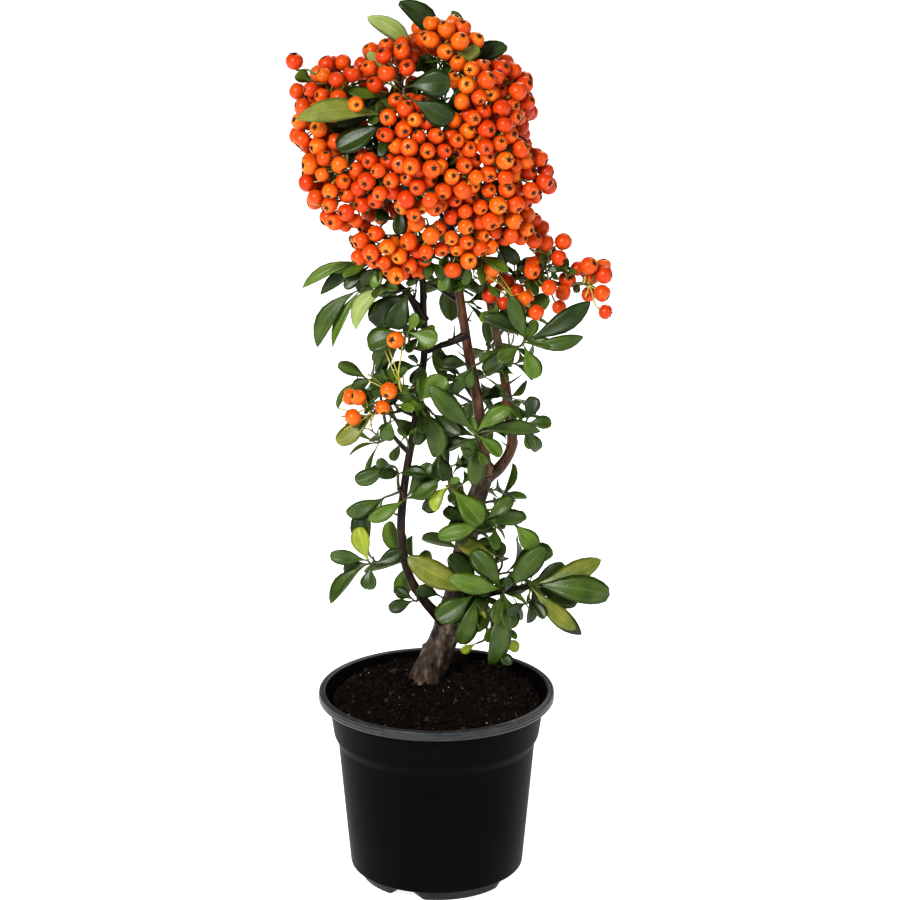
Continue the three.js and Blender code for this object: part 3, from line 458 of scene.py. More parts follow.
# %% [markdown]
# ## Trunk and stems
# The trunk leans out of the compost, flares at its foot and forks. Each limb is a tube: rings set
# square to a smooth route, whose radius tapers. A Catmull-Rom curve through a few measured points
# gives the route, because it passes through every point. The radius then gets relief: long lumps,
# fine fissures along the limb, and swellings where old twigs left. The tubes of the forks start
# inside the trunk with a wider foot, which reads as a grown-together fork.

# %% Limbs: route, radii at both ends, height and length of the foot's flare, relief, knots, bark
PLAIN_LIMB = dict(flare=(1.4, 9), relief=0.1, knots=3, sides=22)
LIMBS = {
    "trunk": dict(
        route=[(-8, 26.5, 104), (-5.5, 26, 114), (4, 24, 139), (11, 20, 166), (17.5, 16, 202),
               (20, 15, 218), (29, 13, 247)], radii=(9, 5.3), flare=(2.6, 14), relief=0.16,
        knots=1, sides=56, bark=0),
    "middle_stem": dict(
        route=[(29, 13, 246), (26.5, 12, 268), (24, 12, 292), (18.5, 12, 322), (14, 14, 352),
               (10.5, 14, 375), (6, 12, 406), (3.5, 10, 435)], radii=(3.6, 1.8), bark=1),
    "right_stem": dict(
        route=[(27, 14, 242), (37.5, 18, 249), (44, 22, 260), (42.5, 22, 283), (38, 20, 313),
               (32.5, 18, 342), (28, 16, 366), (26.5, 14, 393), (29, 10, 424)], radii=(3.3, 1.6), bark=1),
    "left_stem_lower": dict(
        route=[(6, 20, 150), (-6.7, 10, 168), (-15, 4, 184), (-19.5, 0, 200)], radii=(3, 2.4), bark=2),
    "left_stem_upper": dict(
        route=[(-18.3, 1, 195.6), (-20.6, -2, 217), (-18, 0, 247), (-14, 2, 271), (-9.3, 4, 301),
               (-6.5, 6, 327), (-7, 6, 345)], radii=(2.45, 2), flare=(0, 9), bark=2),
    "left_crown_bough": dict(
        route=[(-6.9, 6, 340), (-9, 8, 375), (-18, 6, 405), (-30, 0, 436)], radii=(2, 1.3),
        flare=(0, 9), bark=2),
    "left_branch": dict(
        route=[(-7, 6, 341), (-15, 4, 356), (-24, 0, 366), (-34, -3, 372)], radii=(2.1, 1.2), bark=2),
    "right_arm": dict(
        route=[(31, 17, 349), (41, 13, 364), (58, 7, 366), (73, 6, 362)], radii=(2.2, 1.2), bark=1),
    "back_crown_bough": dict(
        route=[(12, 14, 362), (9, 30, 390), (4, 42, 425)], radii=(2, 1.2), bark=1),
    "low_right_branch": dict(
        route=[(11, 20, 166), (22, 6, 172), (37, -8, 181), (56, -10, 185)], radii=(3, 1.5), bark=2),
    "cross_branch": dict(
        route=[(17.5, 12, 331), (8, 10, 327), (0, 8, 324.5), (-6, 6, 322)], radii=(1.6, 1.2), bark=2),
}
print("limbs:", len(LIMBS))


# %% Paths of even steps
def unit(vectors):
    """Vectors scaled to length 1."""
    return vectors / np.maximum(np.linalg.norm(vectors, axis=-1, keepdims=True), 1e-9)


def length_of(path):
    """The sum of a path's steps."""
    return np.linalg.norm(np.diff(path, axis=0), axis=1).sum()


def evenly(path, count):
    """count points along a path at even distances, by interpolation of its running length."""
    way = np.concatenate([[0], np.cumsum(np.linalg.norm(np.diff(path, axis=0), axis=1))])
    spots = np.linspace(0, way[-1], count)
    return np.stack([np.interp(spots, way, path[:, axis]) for axis in range(3)], -1)


def smooth_route(points, count):
    """A centripetal Catmull-Rom curve: between two points a cubic whose end slopes weigh the
    neighbouring chords by the square root of their lengths."""
    points = np.array(points, float)
    points = np.vstack([2 * points[0] - points[1], points, 2 * points[-1] - points[-2]])
    gap = np.linalg.norm(np.diff(points, axis=0), axis=1)[:, None] ** 0.5
    slope = np.diff(points, axis=0) / gap
    wide = (points[2:] - points[:-2]) / (gap[1:] + gap[:-1])
    ends = slope[:-1] - wide + slope[1:]
    t = np.linspace(0, 1, 24)[:, None, None]
    start, end = points[1:-2], points[2:-1]
    first, last = ends[:-1] * gap[1:-1], ends[1:] * gap[1:-1]
    spans = (
        (2 * t**3 - 3 * t**2 + 1) * start + (t**3 - 2 * t**2 + t) * first
        + (3 * t**2 - 2 * t**3) * end + (t**3 - t**2) * last
    )
    return evenly(spans.transpose(1, 0, 2).reshape(-1, 3), count)


print("trunk:", round(float(length_of(smooth_route(LIMBS["trunk"]["route"], 60))), 1), "mm along its route")


# %% Tubes round paths
def tube_rings(paths, radii, sides):
    """Rings square to each path: its points, plus the radius times the cosine of the angle to one
    side and the sine to the other. paths is count x steps x 3, radii count x steps."""
    along = unit(np.gradient(paths, axis=1))
    chord = np.abs(paths[:, -1] - paths[:, 0])
    reference = np.eye(3)[chord.argmin(axis=1)][:, None, :]
    side = unit(np.cross(reference + 0 * along, along))
    other = np.cross(along, side)
    angle = np.linspace(0, 2 * np.pi, sides, endpoint=False)[:, None]
    ring = np.cos(angle) * side[:, :, None] + np.sin(angle) * other[:, :, None]
    return paths[:, :, None] + ring * radii[..., None, None]


def build_tubes(name, paths, radii, sides, materials, kinds=0):
    """Many tubes of equal steps in one mesh. kinds gives each tube its material."""
    kinds = np.reshape(kinds, (-1, 1))
    rings = tube_rings(np.array(paths), np.array(radii), sides)
    return build_grids(name, rings, materials, kinds[..., None], kinds)


upright = np.array([[(0, 0, 0), (0, 0, 5), (0, 0, 10)]], float)
print("points on three rings of six:", tube_rings(upright, np.ones((1, 3)), 6)[..., 0].size)

# %% Relief of the limbs
RING_GAP, KNOT_GAP, KNOT_WIDTH, KNOT_TURN = 1.3, 21, 0.006, 2.4
BARK_GRAIN = (1, 1, 0.35)  # draws the lumps out upwards


def limb_surface(number, route, radii, flare, relief, knots, sides):
    """Path and rings of a limb. The radius runs evenly from foot to tip, plus the flare, which
    fades with the exponential of the way, and it closes like a ball at the tip. The relief
    multiplies it by 1, plus a swelling about every 21 mm on one side, plus lumps of 7 and 1.8 mm."""
    length = length_of(smooth_route(route, 60))
    steps = int(length / RING_GAP)
    path = smooth_route(route, steps)
    way = np.linspace(0, length, steps)
    radius = np.linspace(*radii, steps) + flare[0] * np.exp(-way / flare[1])
    radius *= np.sqrt(np.clip((way[-1] - way) / (0.8 * radius), 0.02, 1))
    knot_way = way / KNOT_GAP + 0.3 * np.sin(way / 37 + number)
    swelling = np.exp(-((knot_way % 1 - 0.5) ** 2) / KNOT_WIDTH)[:, None]
    clock = np.linspace(0, 2 * np.pi, sides, endpoint=False)
    swelling = swelling * (0.5 + 0.5 * np.cos(clock - KNOT_TURN * np.floor(knot_way)[:, None])) ** 3
    rings = tube_rings(path[None], radius[None], sides)[0]
    grown = 1 + knots * relief * swelling + 1.6 * relief * lumps(rings * BARK_GRAIN, 7, number)
    grown += 0.7 * relief * lumps(rings * BARK_GRAIN, 1.8, number + 40, 2)
    return path, path[:, None] + (rings - path[:, None]) * grown[..., None]


print("rings to a centimetre:", round(10 / RING_GAP, 1))

# %% Trunk and stems as one mesh
barks = [
    finish("grey_trunk_bark", [(0.012, 0.007, 0.005), (0.042, 0.027, 0.019), (0.085, 0.06, 0.043),
                               (0.19, 0.15, 0.118)],
           size=4, stretch=(1, 1, 0.5), roughness=0.6, bump=0.9, fine=5, shine=0.25),
    finish("red_brown_bark", [(0.014, 0.005, 0.002), (0.07, 0.024, 0.009), (0.17, 0.072, 0.03)],
           size=5, stretch=(1, 1, 0.2), roughness=0.4, bump=0.35, fine=5, shine=0.4),
    finish("dark_stem_bark", [(0.005, 0.0025, 0.0018), (0.016, 0.008, 0.005), (0.045, 0.023, 0.013)],
           size=5, stretch=(1, 1, 0.25), roughness=0.5, bump=0.4, fine=5, shine=0.25),
]
routes, first = {}, 0
points, quads, fans, quad_kinds, fan_kinds = [], [], [], [], []
for number, (name, limb) in enumerate(LIMBS.items()):
    limb = {**PLAIN_LIMB, **limb}
    bark = limb.pop("bark")
    routes[name], rings = limb_surface(number, **limb)
    limb_quads, limb_fans = grid_faces(1, *rings.shape[:2])
    points.append(rings.reshape(-1, 3))
    quads.append(limb_quads + first)
    fans.append(limb_fans + first)
    quad_kinds.append(np.full(len(limb_quads), bark))
    fan_kinds.append(np.full(len(limb_fans), bark))
    first += len(points[-1])
wood = build(
    "trunk_and_stems", np.vstack(points), np.vstack(quads), np.vstack(fans), barks,
    np.concatenate(quad_kinds + fan_kinds),
)
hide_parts(*LIMBS)

# %% [markdown]
# ## Where leaves and fruit grow
# Each mass of leaves or fruit grows from one place on a limb. A shoot of leaves is written in one of
# two ways. Inside the crown and at the back it is a place, the azimuth and elevation it faces, how
# many leaves it has, their length, how far they spread from its line, and the turn of the first one.
# The leaves that stand out give the plant its face, so their shoots list every leaf: from the shoot
# to the leaf's tip, its tint, and where it matters how far it bows sideways and how broad it is.

# %% Shoots of leaves: limb, share of its length, shoots
LEAF_MASSES = {
    "top_leaves": ("middle_stem", 1, [
        (-12, 2, 493, [(-26, -4, 26, "pale", -0.6, 0.85)]), (-2, 6, 494, [(-18, 2, 32, "deep", -0.8, 1.1)]),
        (-27, -4, 488, [(-11, -4, 12, "pale")]), (7, -14, 489, [(17, -4, 16, "olive", 0.2)]),
        (11, -2, 487, [(29, 2, 15, "deep", 0.3, 0.85)])]),
    "crown_front_leaves": ("middle_stem", 0.9, [
        (-17, -38, 486, [(25, -3, 3, "deep", 0.1, 1.5)]), (-15, -37, 480, [(24, -3, -12, "deep", 0, 1.4)]),
        (-20, -20, 415, -100, -72, 1, 17, 0, 0)]),
    "crown_left_leaves": ("left_crown_bough", 0.95, [
        (-28, -34, 469, [(-49, -6, 0, "olive", -0.35, 0.85)]),
        (-27, -28, 466, [(-28, -2, -16, "deep", 0.2, 1.2)]),
        (-31, -18, 468, [(-30, 4, -5, "deep", 0.2, 1.1)]),
        (-29, -14, 476, 190, 12, 1, 22, 0, 0), (-36, -22, 425, 230, -70, 1, 15, 0, 0)]),
    "crown_under_leaves": ("middle_stem", 0.62, [
        (-4, -10, 380, -60, -60, 2, 16, 35, 90), (24, -12, 384, -25, -50, 2, 22, 28, 0),
        (33, 0, 389, [(14, -2, -12, "deep"), (10, 4, -7, "green")])]),
    "left_branch_leaves": ("left_branch", 1, [
        (-39, -4, 378, [(-22, -4, -4, "green", 0, 0.7), (-37, -2, -14, "fresh", -0.3, 0.55),
                        (-14, -8, -6, "fresh", 0, 0.8), (-27, 2, -19, "deep", -0.3, 0.7),
                        (-13, -4, -14, "deep")]),
        (-28, -12, 378, [(-8, -6, -11, "fresh"), (-15, 2, -10, "deep")]),
        (-40, 2, 381, 150, 10, 2, 16, 45, 20)]),
    "left_hanging_leaves": ("left_branch", 0.55, [
        (-43, -6, 363, [(-25, -4, -33, "green", -0.45, 0.75), (-16, -8, -32, "fresh", -0.2, 0.55)]),
        (-24, -12, 365, [(-22, -6, -22, "pale", -0.8, 0.85)]),
        (-15, -6, 363, [(-20, 2, -22, "deep", 0, 1.5), (-10, -4, -22, "deep", 0, 1.4)])]),
    "left_middle_leaves": ("left_stem_upper", 0.86, [
        (-17, -12, 340, [(-22, -2, -8, "green", 0, 1.4), (18, -6, -4, "fresh", 0, 1.4), (6, -2, 11, "fresh"),
                         (-4, 4, -12, "fresh"), (-18, 6, -21, "green")]),
        (-26, -4, 321, [(-10, 2, -22, "green"), (-1, 4, -20, "fresh"), (-6, 8, -11, "deep")]),
        (-24, -2, 330, 205, -15, 2, 22, 35, 0)]),
    "left_low_middle_leaves": ("left_stem_upper", 0.6, [
        (-36, -13, 291, [(-21, -2, -17, "olive", 0.2), (-16, 3, -14, "deep")]),
        (-26, -10, 288, [(-3, 0, -14, "green", 0.2, 1.2), (12, 4, -10, "deep")]),
        (-35, 0, 309, [(-13, 0, -8, "green", 0, 1.2)]), (-21, -16, 297, -20, 0, 2, 17, 30, 90)]),
    "centre_left_leaves": ("left_stem_upper", 0.68, [
        (-10, -14, 297, [(16, -4, 17, "fresh", 0.2, 1.3), (2, 4, 16, "green"), (11, -2, -31, "green", 0.4),
                         (-12, 2, 7, "green")]),
        (-2, -8, 289, -60, -50, 4, 28, 38, 45)]),
    "centre_leaves": ("middle_stem", 0.14, [
        (23, -16, 281, [(-27, -4, 29, "green", 0.2, 0.9), (20, -2, 15, "fresh", 0.3, 0.9),
                        (37, 4, -1, "green", 0.3, 0.7), (14, -6, -13, "fresh"),
                        (-1, -4, -31, "green", 0, 1.1), (-8, -8, -10, "green", 0, 1.3),
                        (-27, 6, 2, "deep"), (-25, 10, -11, "deep"), (-4, 2, 9, "fresh")])]),
    "inner_leaves": ("middle_stem", 0.34, [(12, 0, 308, 190, 5, 4, 22, 45, 0)]),
    "right_middle_leaves": ("right_stem", 0.24, [
        (52, 4, 280, [(15, 0, 0, "green", 0, 1.2), (5, 4, 15, "deep", 0, 1.3), (-8, 6, 9, "green"),
                      (4, 2, -16, "fresh"), (8, 6, -18, "green")])]),
    "right_upper_leaves": ("right_stem", 0.42, [
        (51, -12, 335, [(-24, -4, 14, "deep"), (-9, -2, 26, "green", 0.2, 0.9),
                        (37, 4, 21, "deep", -0.2, 0.9),
                        (33, -2, 2, "green", -0.4, 0.75), (16, -6, -2, "green", 0, 0.9),
                        (6, -8, -21, "fresh", 0, 1.1), (-16, -6, -11, "green", 0, 1.2),
                        (-24, 2, -20, "deep", 0, 0.9), (6, 6, 10, "fresh")]),
        (29, -4, 367, [(6, -4, -8, "fresh"), (-5, 2, -6, "deep")]),
        (20, -2, 316, [(-18, -2, 2, "deep"), (-10, -4, -14, "green"), (-2, -2, -12, "green")]),
        (36, 8, 324, 210, -40, 2, 19, 20, 0)]),
    "fork_left_leaves": ("trunk", 0.8, [
        (8, -12, 247, [(-10, -6, -13, "yellow", -0.6), (-15, 2, -16, "deep"),
                       (18, -6, -21, "fresh", 0, 1.5), (5, -2, 6, "fresh")]),
        (1, -4, 266, [(5, -4, -17, "deep", 0, 1.3), (-2, 2, -17, "green", 0, 1.2)]),
        (28, -12, 226, [(16, 2, 13, "green"), (23, 6, 0, "green"), (-27, -2, -9, "fresh", 0.2),
                        (9, 8, 3, "deep")])]),
    "fork_right_leaves": ("trunk", 0.88, [
        (44, -6, 223, [(14, -6, -15, "fresh", 0, 1.4), (8, 2, 4, "green")])]),
    "low_front_leaves": ("low_right_branch", 0.45, [
        (24, -12, 182, [(-24, -6, -15, "green", 0.1, 1.2), (-10, -4, -31, "green"),
                        (-16, 4, 22, "deep", 0, 1.4), (-41, -2, 22, "olive", 0.2),
                        (4, -8, -9, "green"), (-1, 2, -26, "yellow")]),
        (37, -4, 201, [(-26, -4, 13, "olive", 0.3)]), (3, 4, 173, [(-15, -4, 6, "deep")]),
        (24, -4, 147, [(-9, 0, -6, "yellow")])]),
    "low_middle_leaves": ("low_right_branch", 0.7, [
        (39, -16, 185, [(-32, -8, 10, "fresh", 0.2), (-18, 4, 22, "green", 0, 1.25),
                        (24, 2, 25, "green", 0, 1.1), (4, -8, -22, "green", 0, 1.5), (-5, -10, -18, "green"),
                        (-7, -2, -46, "green", 0, 0.95), (2, -6, 10, "deep")]),
        (37, -4, 145, [(12, 0, -1, "yellow"), (0, 0, 6, "fresh")])]),
    "low_right_leaves": ("low_right_branch", 1, [
        (55, -14, 187, [(41, 4, 14, "olive", -0.2, 0.95), (20, 6, 10, "deep"), (46, -4, -5, "green", 0, 1.05),
                        (26, -8, -25, "olive", -0.2, 0.9), (30, 0, -31, "deep", -0.2, 0.8),
                        (28, 6, -13, "deep"), (6, 6, -20, "deep", 0, 1.2)])]),
    "left_side_leaves": ("left_stem_upper", 0.3, [
        (-26, -4, 257, [(-21, -2, -9, "green", 0.3), (-9, -2, 2, "green"), (-13, 4, -8, "deep"),
                        (-7, -8, -5, "deep")]),
        (-30, -2, 237, [(-22, -2, -10, "green", 0.2), (-7, -4, -13, "fresh", -0.4)]),
        (-18, -8, 238, [(19, -6, 12, "green", -0.3, 1.2), (15, 2, 21, "green"), (-21, -4, -12, "fresh")])]),
    "left_rosette_leaves": ("left_stem_upper", 0.03, [
        (-40, -8, 200, [(-22, -2, 4, "green"), (-5, 2, 20, "yellow", 0, 1.2), (-2, 6, 31, "deep"),
                        (-22, -4, -25, "green", -0.3), (1, -6, -16, "green", 0, 1.5), (-14, 4, -9, "deep"),
                        (20, 2, 5, "deep")])]),
    "left_low_leaves": ("left_stem_lower", 0.55, [
        (-13, -2, 173, [(-15, -4, -4, "deep"), (-12, 4, 6, "deep")])]),
    "back_crown_leaves": ("back_crown_bough", 0.7, [
        (28, 56, 452, 70, 5, 4, 30, 50, 30), (-10, 62, 418, 95, -10, 4, 28, 50, 60),
        (-48, 44, 452, 150, 0, 3, 28, 45, 10), (10, 50, 492, 80, 45, 3, 28, 35, 0)]),
    "back_upper_leaves": ("middle_stem", 0.55, [
        (-28, 38, 362, 120, -25, 4, 32, 35, 20), (8, 44, 356, 85, -35, 4, 32, 38, 0)]),
    "back_right_leaves": ("right_stem", 0.5, [
        (50, 38, 338, 50, -10, 5, 28, 55, 40), (30, 46, 312, 80, 0, 3, 28, 55, 0)]),
    "back_middle_leaves": ("middle_stem", 0.24, [
        (4, 44, 290, 100, -5, 4, 28, 60, 10), (34, 44, 268, 70, -15, 4, 26, 50, 50)]),
    "back_left_leaves": ("left_stem_upper", 0.45, [
        (-40, 26, 300, 140, -15, 4, 27, 55, 30), (-36, 24, 262, 150, -10, 4, 24, 55, 0)]),
    "back_fork_leaves": ("trunk", 0.72, [
        (8, 44, 238, 95, 5, 4, 28, 65, 20), (38, 40, 222, 60, -5, 4, 26, 55, 0)]),
    "back_low_leaves": ("trunk", 0.42, [
        (16, 50, 186, 95, -5, 5, 33, 65, 10), (46, 34, 178, 45, -10, 4, 32, 55, 40),
        (-18, 44, 182, 125, -5, 4, 30, 60, 0)]),
}

# %% [markdown]
# A bunch of fruit is a place, a radius and a number of berries, and the rule domes them. On the arm
# and on the small sprays half-way down the berries hang far apart, and two stand out of the crown
# alone, so there every berry's place is listed, and after it the tips of stalks that have lost theirs.

# %% Bunches of fruit: limb, share of its length, bunches
FRUIT_MASSES = {
    "top_left_fruit": ("left_crown_bough", 1, [
        (-59, -12, 479, 17, 12), (-66, -8, 459, 15, 8), (-59, 8, 468, 13, 8),
        (-66, -8, 487, [(-78, -9, 494)], []), (-40, -30, 474, [(-44, -43, 478)], [])]),
    "left_fruit": ("left_crown_bough", 0.8, [
        (-60, -18, 434, 18, 12), (-51, -20, 416, 14, 9), (-33, -34, 436, 14, 8), (-46, -12, 450, 11, 5)]),
    "top_fruit": ("middle_stem", 0.97, [
        (-26, -14, 494, 15, 9), (7, -12, 507, 14, 9), (-18, -34, 467, 13, 7), (6, 12, 497, 12, 7)]),
    "top_right_fruit": ("right_stem", 1, [
        (21, -24, 486, 14, 9), (40, -10, 479, 14, 10), (30, -29, 463, 14, 9), (38, 12, 466, 12, 7)]),
    "front_fruit": ("middle_stem", 0.84, [
        (-8, -37, 452, 15, 10), (-10, -36, 428, 15, 9), (13, -35, 439, 14, 8), (16, -33, 457, 11, 5),
        (11, -30, 419, 9, 4)]),
    "right_fruit": ("right_stem", 0.9, [
        (37, -28, 444, 14, 8), (53, -12, 430, 14, 10), (34, -26, 419, 14, 8)]),
    "under_right_fruit": ("right_stem", 0.8, [(19, -20, 395, 15, 10), (44, -14, 403, 11, 5)]),
    "under_fruit": ("middle_stem", 0.7, [(-6, -26, 399, 14, 6), (-18, -13, 383, 12, 6)]),
    "under_left_fruit": ("left_crown_bough", 0.45, [(-31, -20, 391, 15, 9)]),
    "arm_inner_fruit": ("right_arm", 0.3, [
        (43, -2, 358, [(32, -14, 378), (57, -16, 352), (51, -8, 358), (46, 0, 361), (38, -7, 354),
                       (31, 2, 358), (42, 5, 364), (30, 0, 369), (44, -3, 347), (47, 4, 341)],
         [(36, -2, 371)])]),
    "arm_upper_fruit": ("right_arm", 0.65, [
        (64, 4, 376, [(56, 4, 401), (56, -6, 392), (63, 0, 389), (60, 10, 395), (71, 2, 388),
                      (73, 0, 378)], []),
        (64, 5, 366, [(60, 6, 380), (58, 11, 374), (62, -1, 374), (56, -8, 369), (63, -13, 366),
                      (72, 6, 370), (73, 4, 361), (71, 2, 352), (55, 10, 362)], [])]),
    "arm_end_fruit": ("right_arm", 1, [
        (87, 4, 363, [(80, 5, 370), (87, -3, 376), (95, 9, 372), (96, 0, 370), (88, 8, 367), (89, 13, 360),
                      (95, 0, 359), (97, 0, 348)], [])]),
    "little_fruit": ("left_stem_upper", 0.72, [
        (-36, -14, 291, [(-32, -18, 297), (-47, -17, 290), (-42, -13, 301), (-49, -9, 300)],
         [(-56, -12, 294), (-54, -18, 291), (-52, -14, 285), (-53, -16, 282), (-44, -16, 279),
          (-39, -18, 283), (-54, -6, 298)]),
        (-19, -12, 303, [(-27, -20, 307), (-23, -24, 338)],
         [(-39, -14, 315), (-39, -10, 310), (-30, -14, 331), (-27, -16, 331), (-12, -16, 308),
          (-19, -14, 315)])]),
    "back_top_fruit": ("middle_stem", 0.92, [
        (-29, 26, 486, 15, 9), (0, 38, 496, 15, 10), (27, 30, 484, 15, 9)]),
    "back_left_fruit": ("left_crown_bough", 0.9, [(-62, 24, 464, 15, 9), (-62, 24, 430, 15, 9)]),
    "back_middle_fruit": ("back_crown_bough", 1, [(-26, 56, 462, 16, 9), (12, 64, 460, 16, 9)]),
    "back_right_fruit": ("right_stem", 0.95, [(40, 34, 462, 15, 9), (42, 52, 432, 15, 10)]),
    "back_under_fruit": ("back_crown_bough", 0.5, [(-32, 44, 406, 16, 9), (20, 50, 400, 16, 9)]),
}
print("masses:", len(LEAF_MASSES), "of leaves and", len(FRUIT_MASSES), "of fruit")

# %% [markdown]
# ## The growing rule
# Twigs are grown as a plant would: a stem goes from the limb towards the heart of its mass, then
# every shoot is joined to the nearest twig point that needs no sharp turn and no long way back.
# Each twig is a cubic Bezier curve, which leaves its foot bowed a little aside and comes in along
# the line that its shoot faces. Every mass has a seed of its own, so its twigs bow in their own way.


# %% Headings and curves
def heading(azimuth, elevation):
    """A unit vector from an azimuth and an elevation in degrees."""
    a, e = np.radians(azimuth), np.radians(elevation)
    return np.stack([np.cos(a) * np.cos(e), np.sin(a) * np.cos(e), np.sin(e) + 0 * a], -1)


def bezier(handles, count):
    """A cubic curve through its first and last handle, at count even steps."""
    t = np.linspace(0, 1, 40)[:, None]
    a, b, c, d = handles
    curve = (1 - t) ** 3 * a + 3 * t * (1 - t) ** 2 * b + 3 * t**2 * (1 - t) * c + t**3 * d
    return evenly(curve, count)


def on_path(path, share):
    """The point and the direction at a share of an evenly stepped path."""
    spot = np.clip(share, 0, 1) * (len(path) - 1)
    step = int(min(spot, len(path) - 2))
    place = path[step] + (spot - step) * (path[step + 1] - path[step])
    return place, unit(path[step + 1] - path[step])


print("half-way up the trunk:", np.round(on_path(routes["trunk"], 0.5)[0], 1))

# %% A twig
TWIG_STEPS = 9


def twig_path(foot, limb_line, target, along, bow_side):
    """A twig that starts nearly square to its limb, if on one. The first inner handle is 0.35 of
    the gap on, bowed aside by a twentieth of it, the second 0.4 of it or 14 mm before the target."""
    gap = np.linalg.norm(target - foot)
    start = unit(target - foot)
    side = unit(np.cross(start, bow_side))
    if limb_line is not None:
        start = unit(start - 0.8 * (start @ limb_line) * limb_line)
    bowed = foot + 0.35 * gap * start + 0.05 * gap * side
    return bezier((foot, bowed, target - min(0.4 * gap, 14) * along, target), TWIG_STEPS)


trial_foot, trial_tip, up = np.array([0.0, 0, 0]), np.array([30.0, 0, 0]), np.array([0.0, 0, 1])
trial_twig = twig_path(trial_foot, None, trial_tip, up, heading(90, 20))
print("a twig over 30 mm that ends upright:", round(float(length_of(trial_twig)), 1), "mm long")

# %% Growing a mass
BUDS = (0.25, 0.5, 0.75, 0.97)  # shares of a twig at which others may start
WAY_COST, TURN_COST, CROWDED_GAP, CROWDED_COST = 0.25, 7, 4, 50


def grow(limb, at, places, alongs, seed):
    """A stem to the heart of the mass, then a twig to each target, nearest first, from the twig
    point with the least cost: gap + way back / 4 + 7 (1 - cosine of the turn), and 50 if nearer
    than 4 mm. The stem's number is the count of the targets."""
    root, limb_line = on_path(routes[limb], at)
    middle = places.mean(axis=0)
    points = [(root, 0.0, unit(middle - root))]
    twigs = {}

    def join(start, target, along, index):
        place, way, _ = points[start]
        line = limb_line if way == 0 and at < 1 else None
        side = heading(360 * chance(seed, index, 10), 20)
        twigs[index] = twig_path(place, line, target, along, side)
        gap = np.linalg.norm(target - place)
        for share in BUDS:
            spot, forward = on_path(twigs[index], share)
            points.append((spot, way + gap * share, forward))

    if len(places) > 1:
        heart = root + 0.6 * (middle - root)
        join(0, heart, unit(heart - root), len(places))
    for index in np.argsort(np.linalg.norm(places - root, axis=1)):
        first_grown = min(1, len(points) - 1)
        spots, ways, forwards = (np.array(row) for row in zip(*points[first_grown:]))
        gaps = np.linalg.norm(places[index] - spots, axis=1)
        turn = 1 - np.sum(unit(places[index] - spots) * forwards, axis=1)
        cost = gaps + WAY_COST * ways + TURN_COST * turn + CROWDED_COST * (gaps < CROWDED_GAP)
        join(first_grown + int(cost.argmin()), places[index], alongs[index], int(index))
    return twigs


trial_places = np.array([(20.0, 0, 200), (30, 0, 210), (20, 10, 215)])
trial_mass = grow("trunk", 0.5, trial_places, unit(trial_places), 1)
print("twigs of three trial shoots, with their stem:", len(trial_mass))

# %% Seeds: the masses numbered on from the limbs, the crown's front before the rest
front_crown = list(LEAF_MASSES)[:3]
order = front_crown + list(FRUIT_MASSES) + [name for name in LEAF_MASSES if name not in front_crown]
seeds = {name: len(LIMBS) + 1 + number for number, name in enumerate(order)}
print("seeds:", min(seeds.values()), "to", max(seeds.values()))

# %% [markdown]
# ## Rosettes of leaves
# On short shoots the leaves stand round the tip like spokes. Their blades turn to the light: the
# face of each looks up, away from the middle of the plant and along the shoot. Every leaf becomes
# one row of numbers: where it starts, the line to its tip, its face, length, sideways bow, width
# and tint. Along the twigs and the stems sit shorter side shoots with two to four leaves, which
# close the plant without changing its outline.

# %% Tints of leaves: darker and lighter colour
TINTS = {
    "deep": ((0.012, 0.025, 0.003), (0.028, 0.052, 0.006)),
    "green": ((0.026, 0.052, 0.005), (0.056, 0.096, 0.009)),
    "fresh": ((0.055, 0.105, 0.008), (0.100, 0.165, 0.017)),
    "yellow": ((0.19, 0.25, 0.016), (0.30, 0.34, 0.03)),
    "olive": ((0.100, 0.125, 0.014), (0.190, 0.200, 0.030)),
    "pale": ((0.20, 0.27, 0.07), (0.29, 0.36, 0.11)),
}
TINT_NAMES = list(TINTS)
print("tints:", ", ".join(TINTS))

# %% Rows of twigs and leaves
AXIS = np.array([-2.0, 12.0, 0.0])
leaf_rows, twig_paths, twig_radii, twig_barks = [], [], [], []


def add_twig(path, radii, bark):
    """Keeps a twig: its path, its radius from foot to tip, and its bark."""
    twig_paths.append(path)
    twig_radii.append(np.linspace(*radii, TWIG_STEPS))
    twig_barks.append(bark)


def add_leaves(base, line, along, length, seed, tints, bow=None, broad=1.0, light=(0, 0, 0.7)):
    """Rows of base, line, face, length, bow, width, tint. A face is the sum of the way to the light,
    outward and the shoot's line, with some chance, square to the leaf's own line. The width is
    3.5 mm + 0.27 of the length."""
    i = np.arange(len(line))
    outward = unit((base - AXIS) * (1, 1, 0))
    side = unit(np.cross((0, 0, 1), along + 0.01 * outward))
    face = 0.8 * outward + light + 0.6 * along + 1.1 * (chance(seed, i, 3) - 0.5)[:, None] * side
    face = unit(face - np.sum(face * line, axis=1, keepdims=True) * line)
    width = (3.5 + 0.27 * length) * broad * (0.88 + 0.24 * chance(seed, i, 6))
    drawn = 0.6 * (chance(seed, i, 5) - 0.5)
    bow = drawn if bow is None else np.where(np.isnan(bow), drawn, bow)
    leaf_rows.append(np.column_stack([base, line, face, length, bow, width, tints + 0 * length]))


print("a leaf of 20 mm is about", round(3.5 + 0.27 * 20, 1), "mm wide")


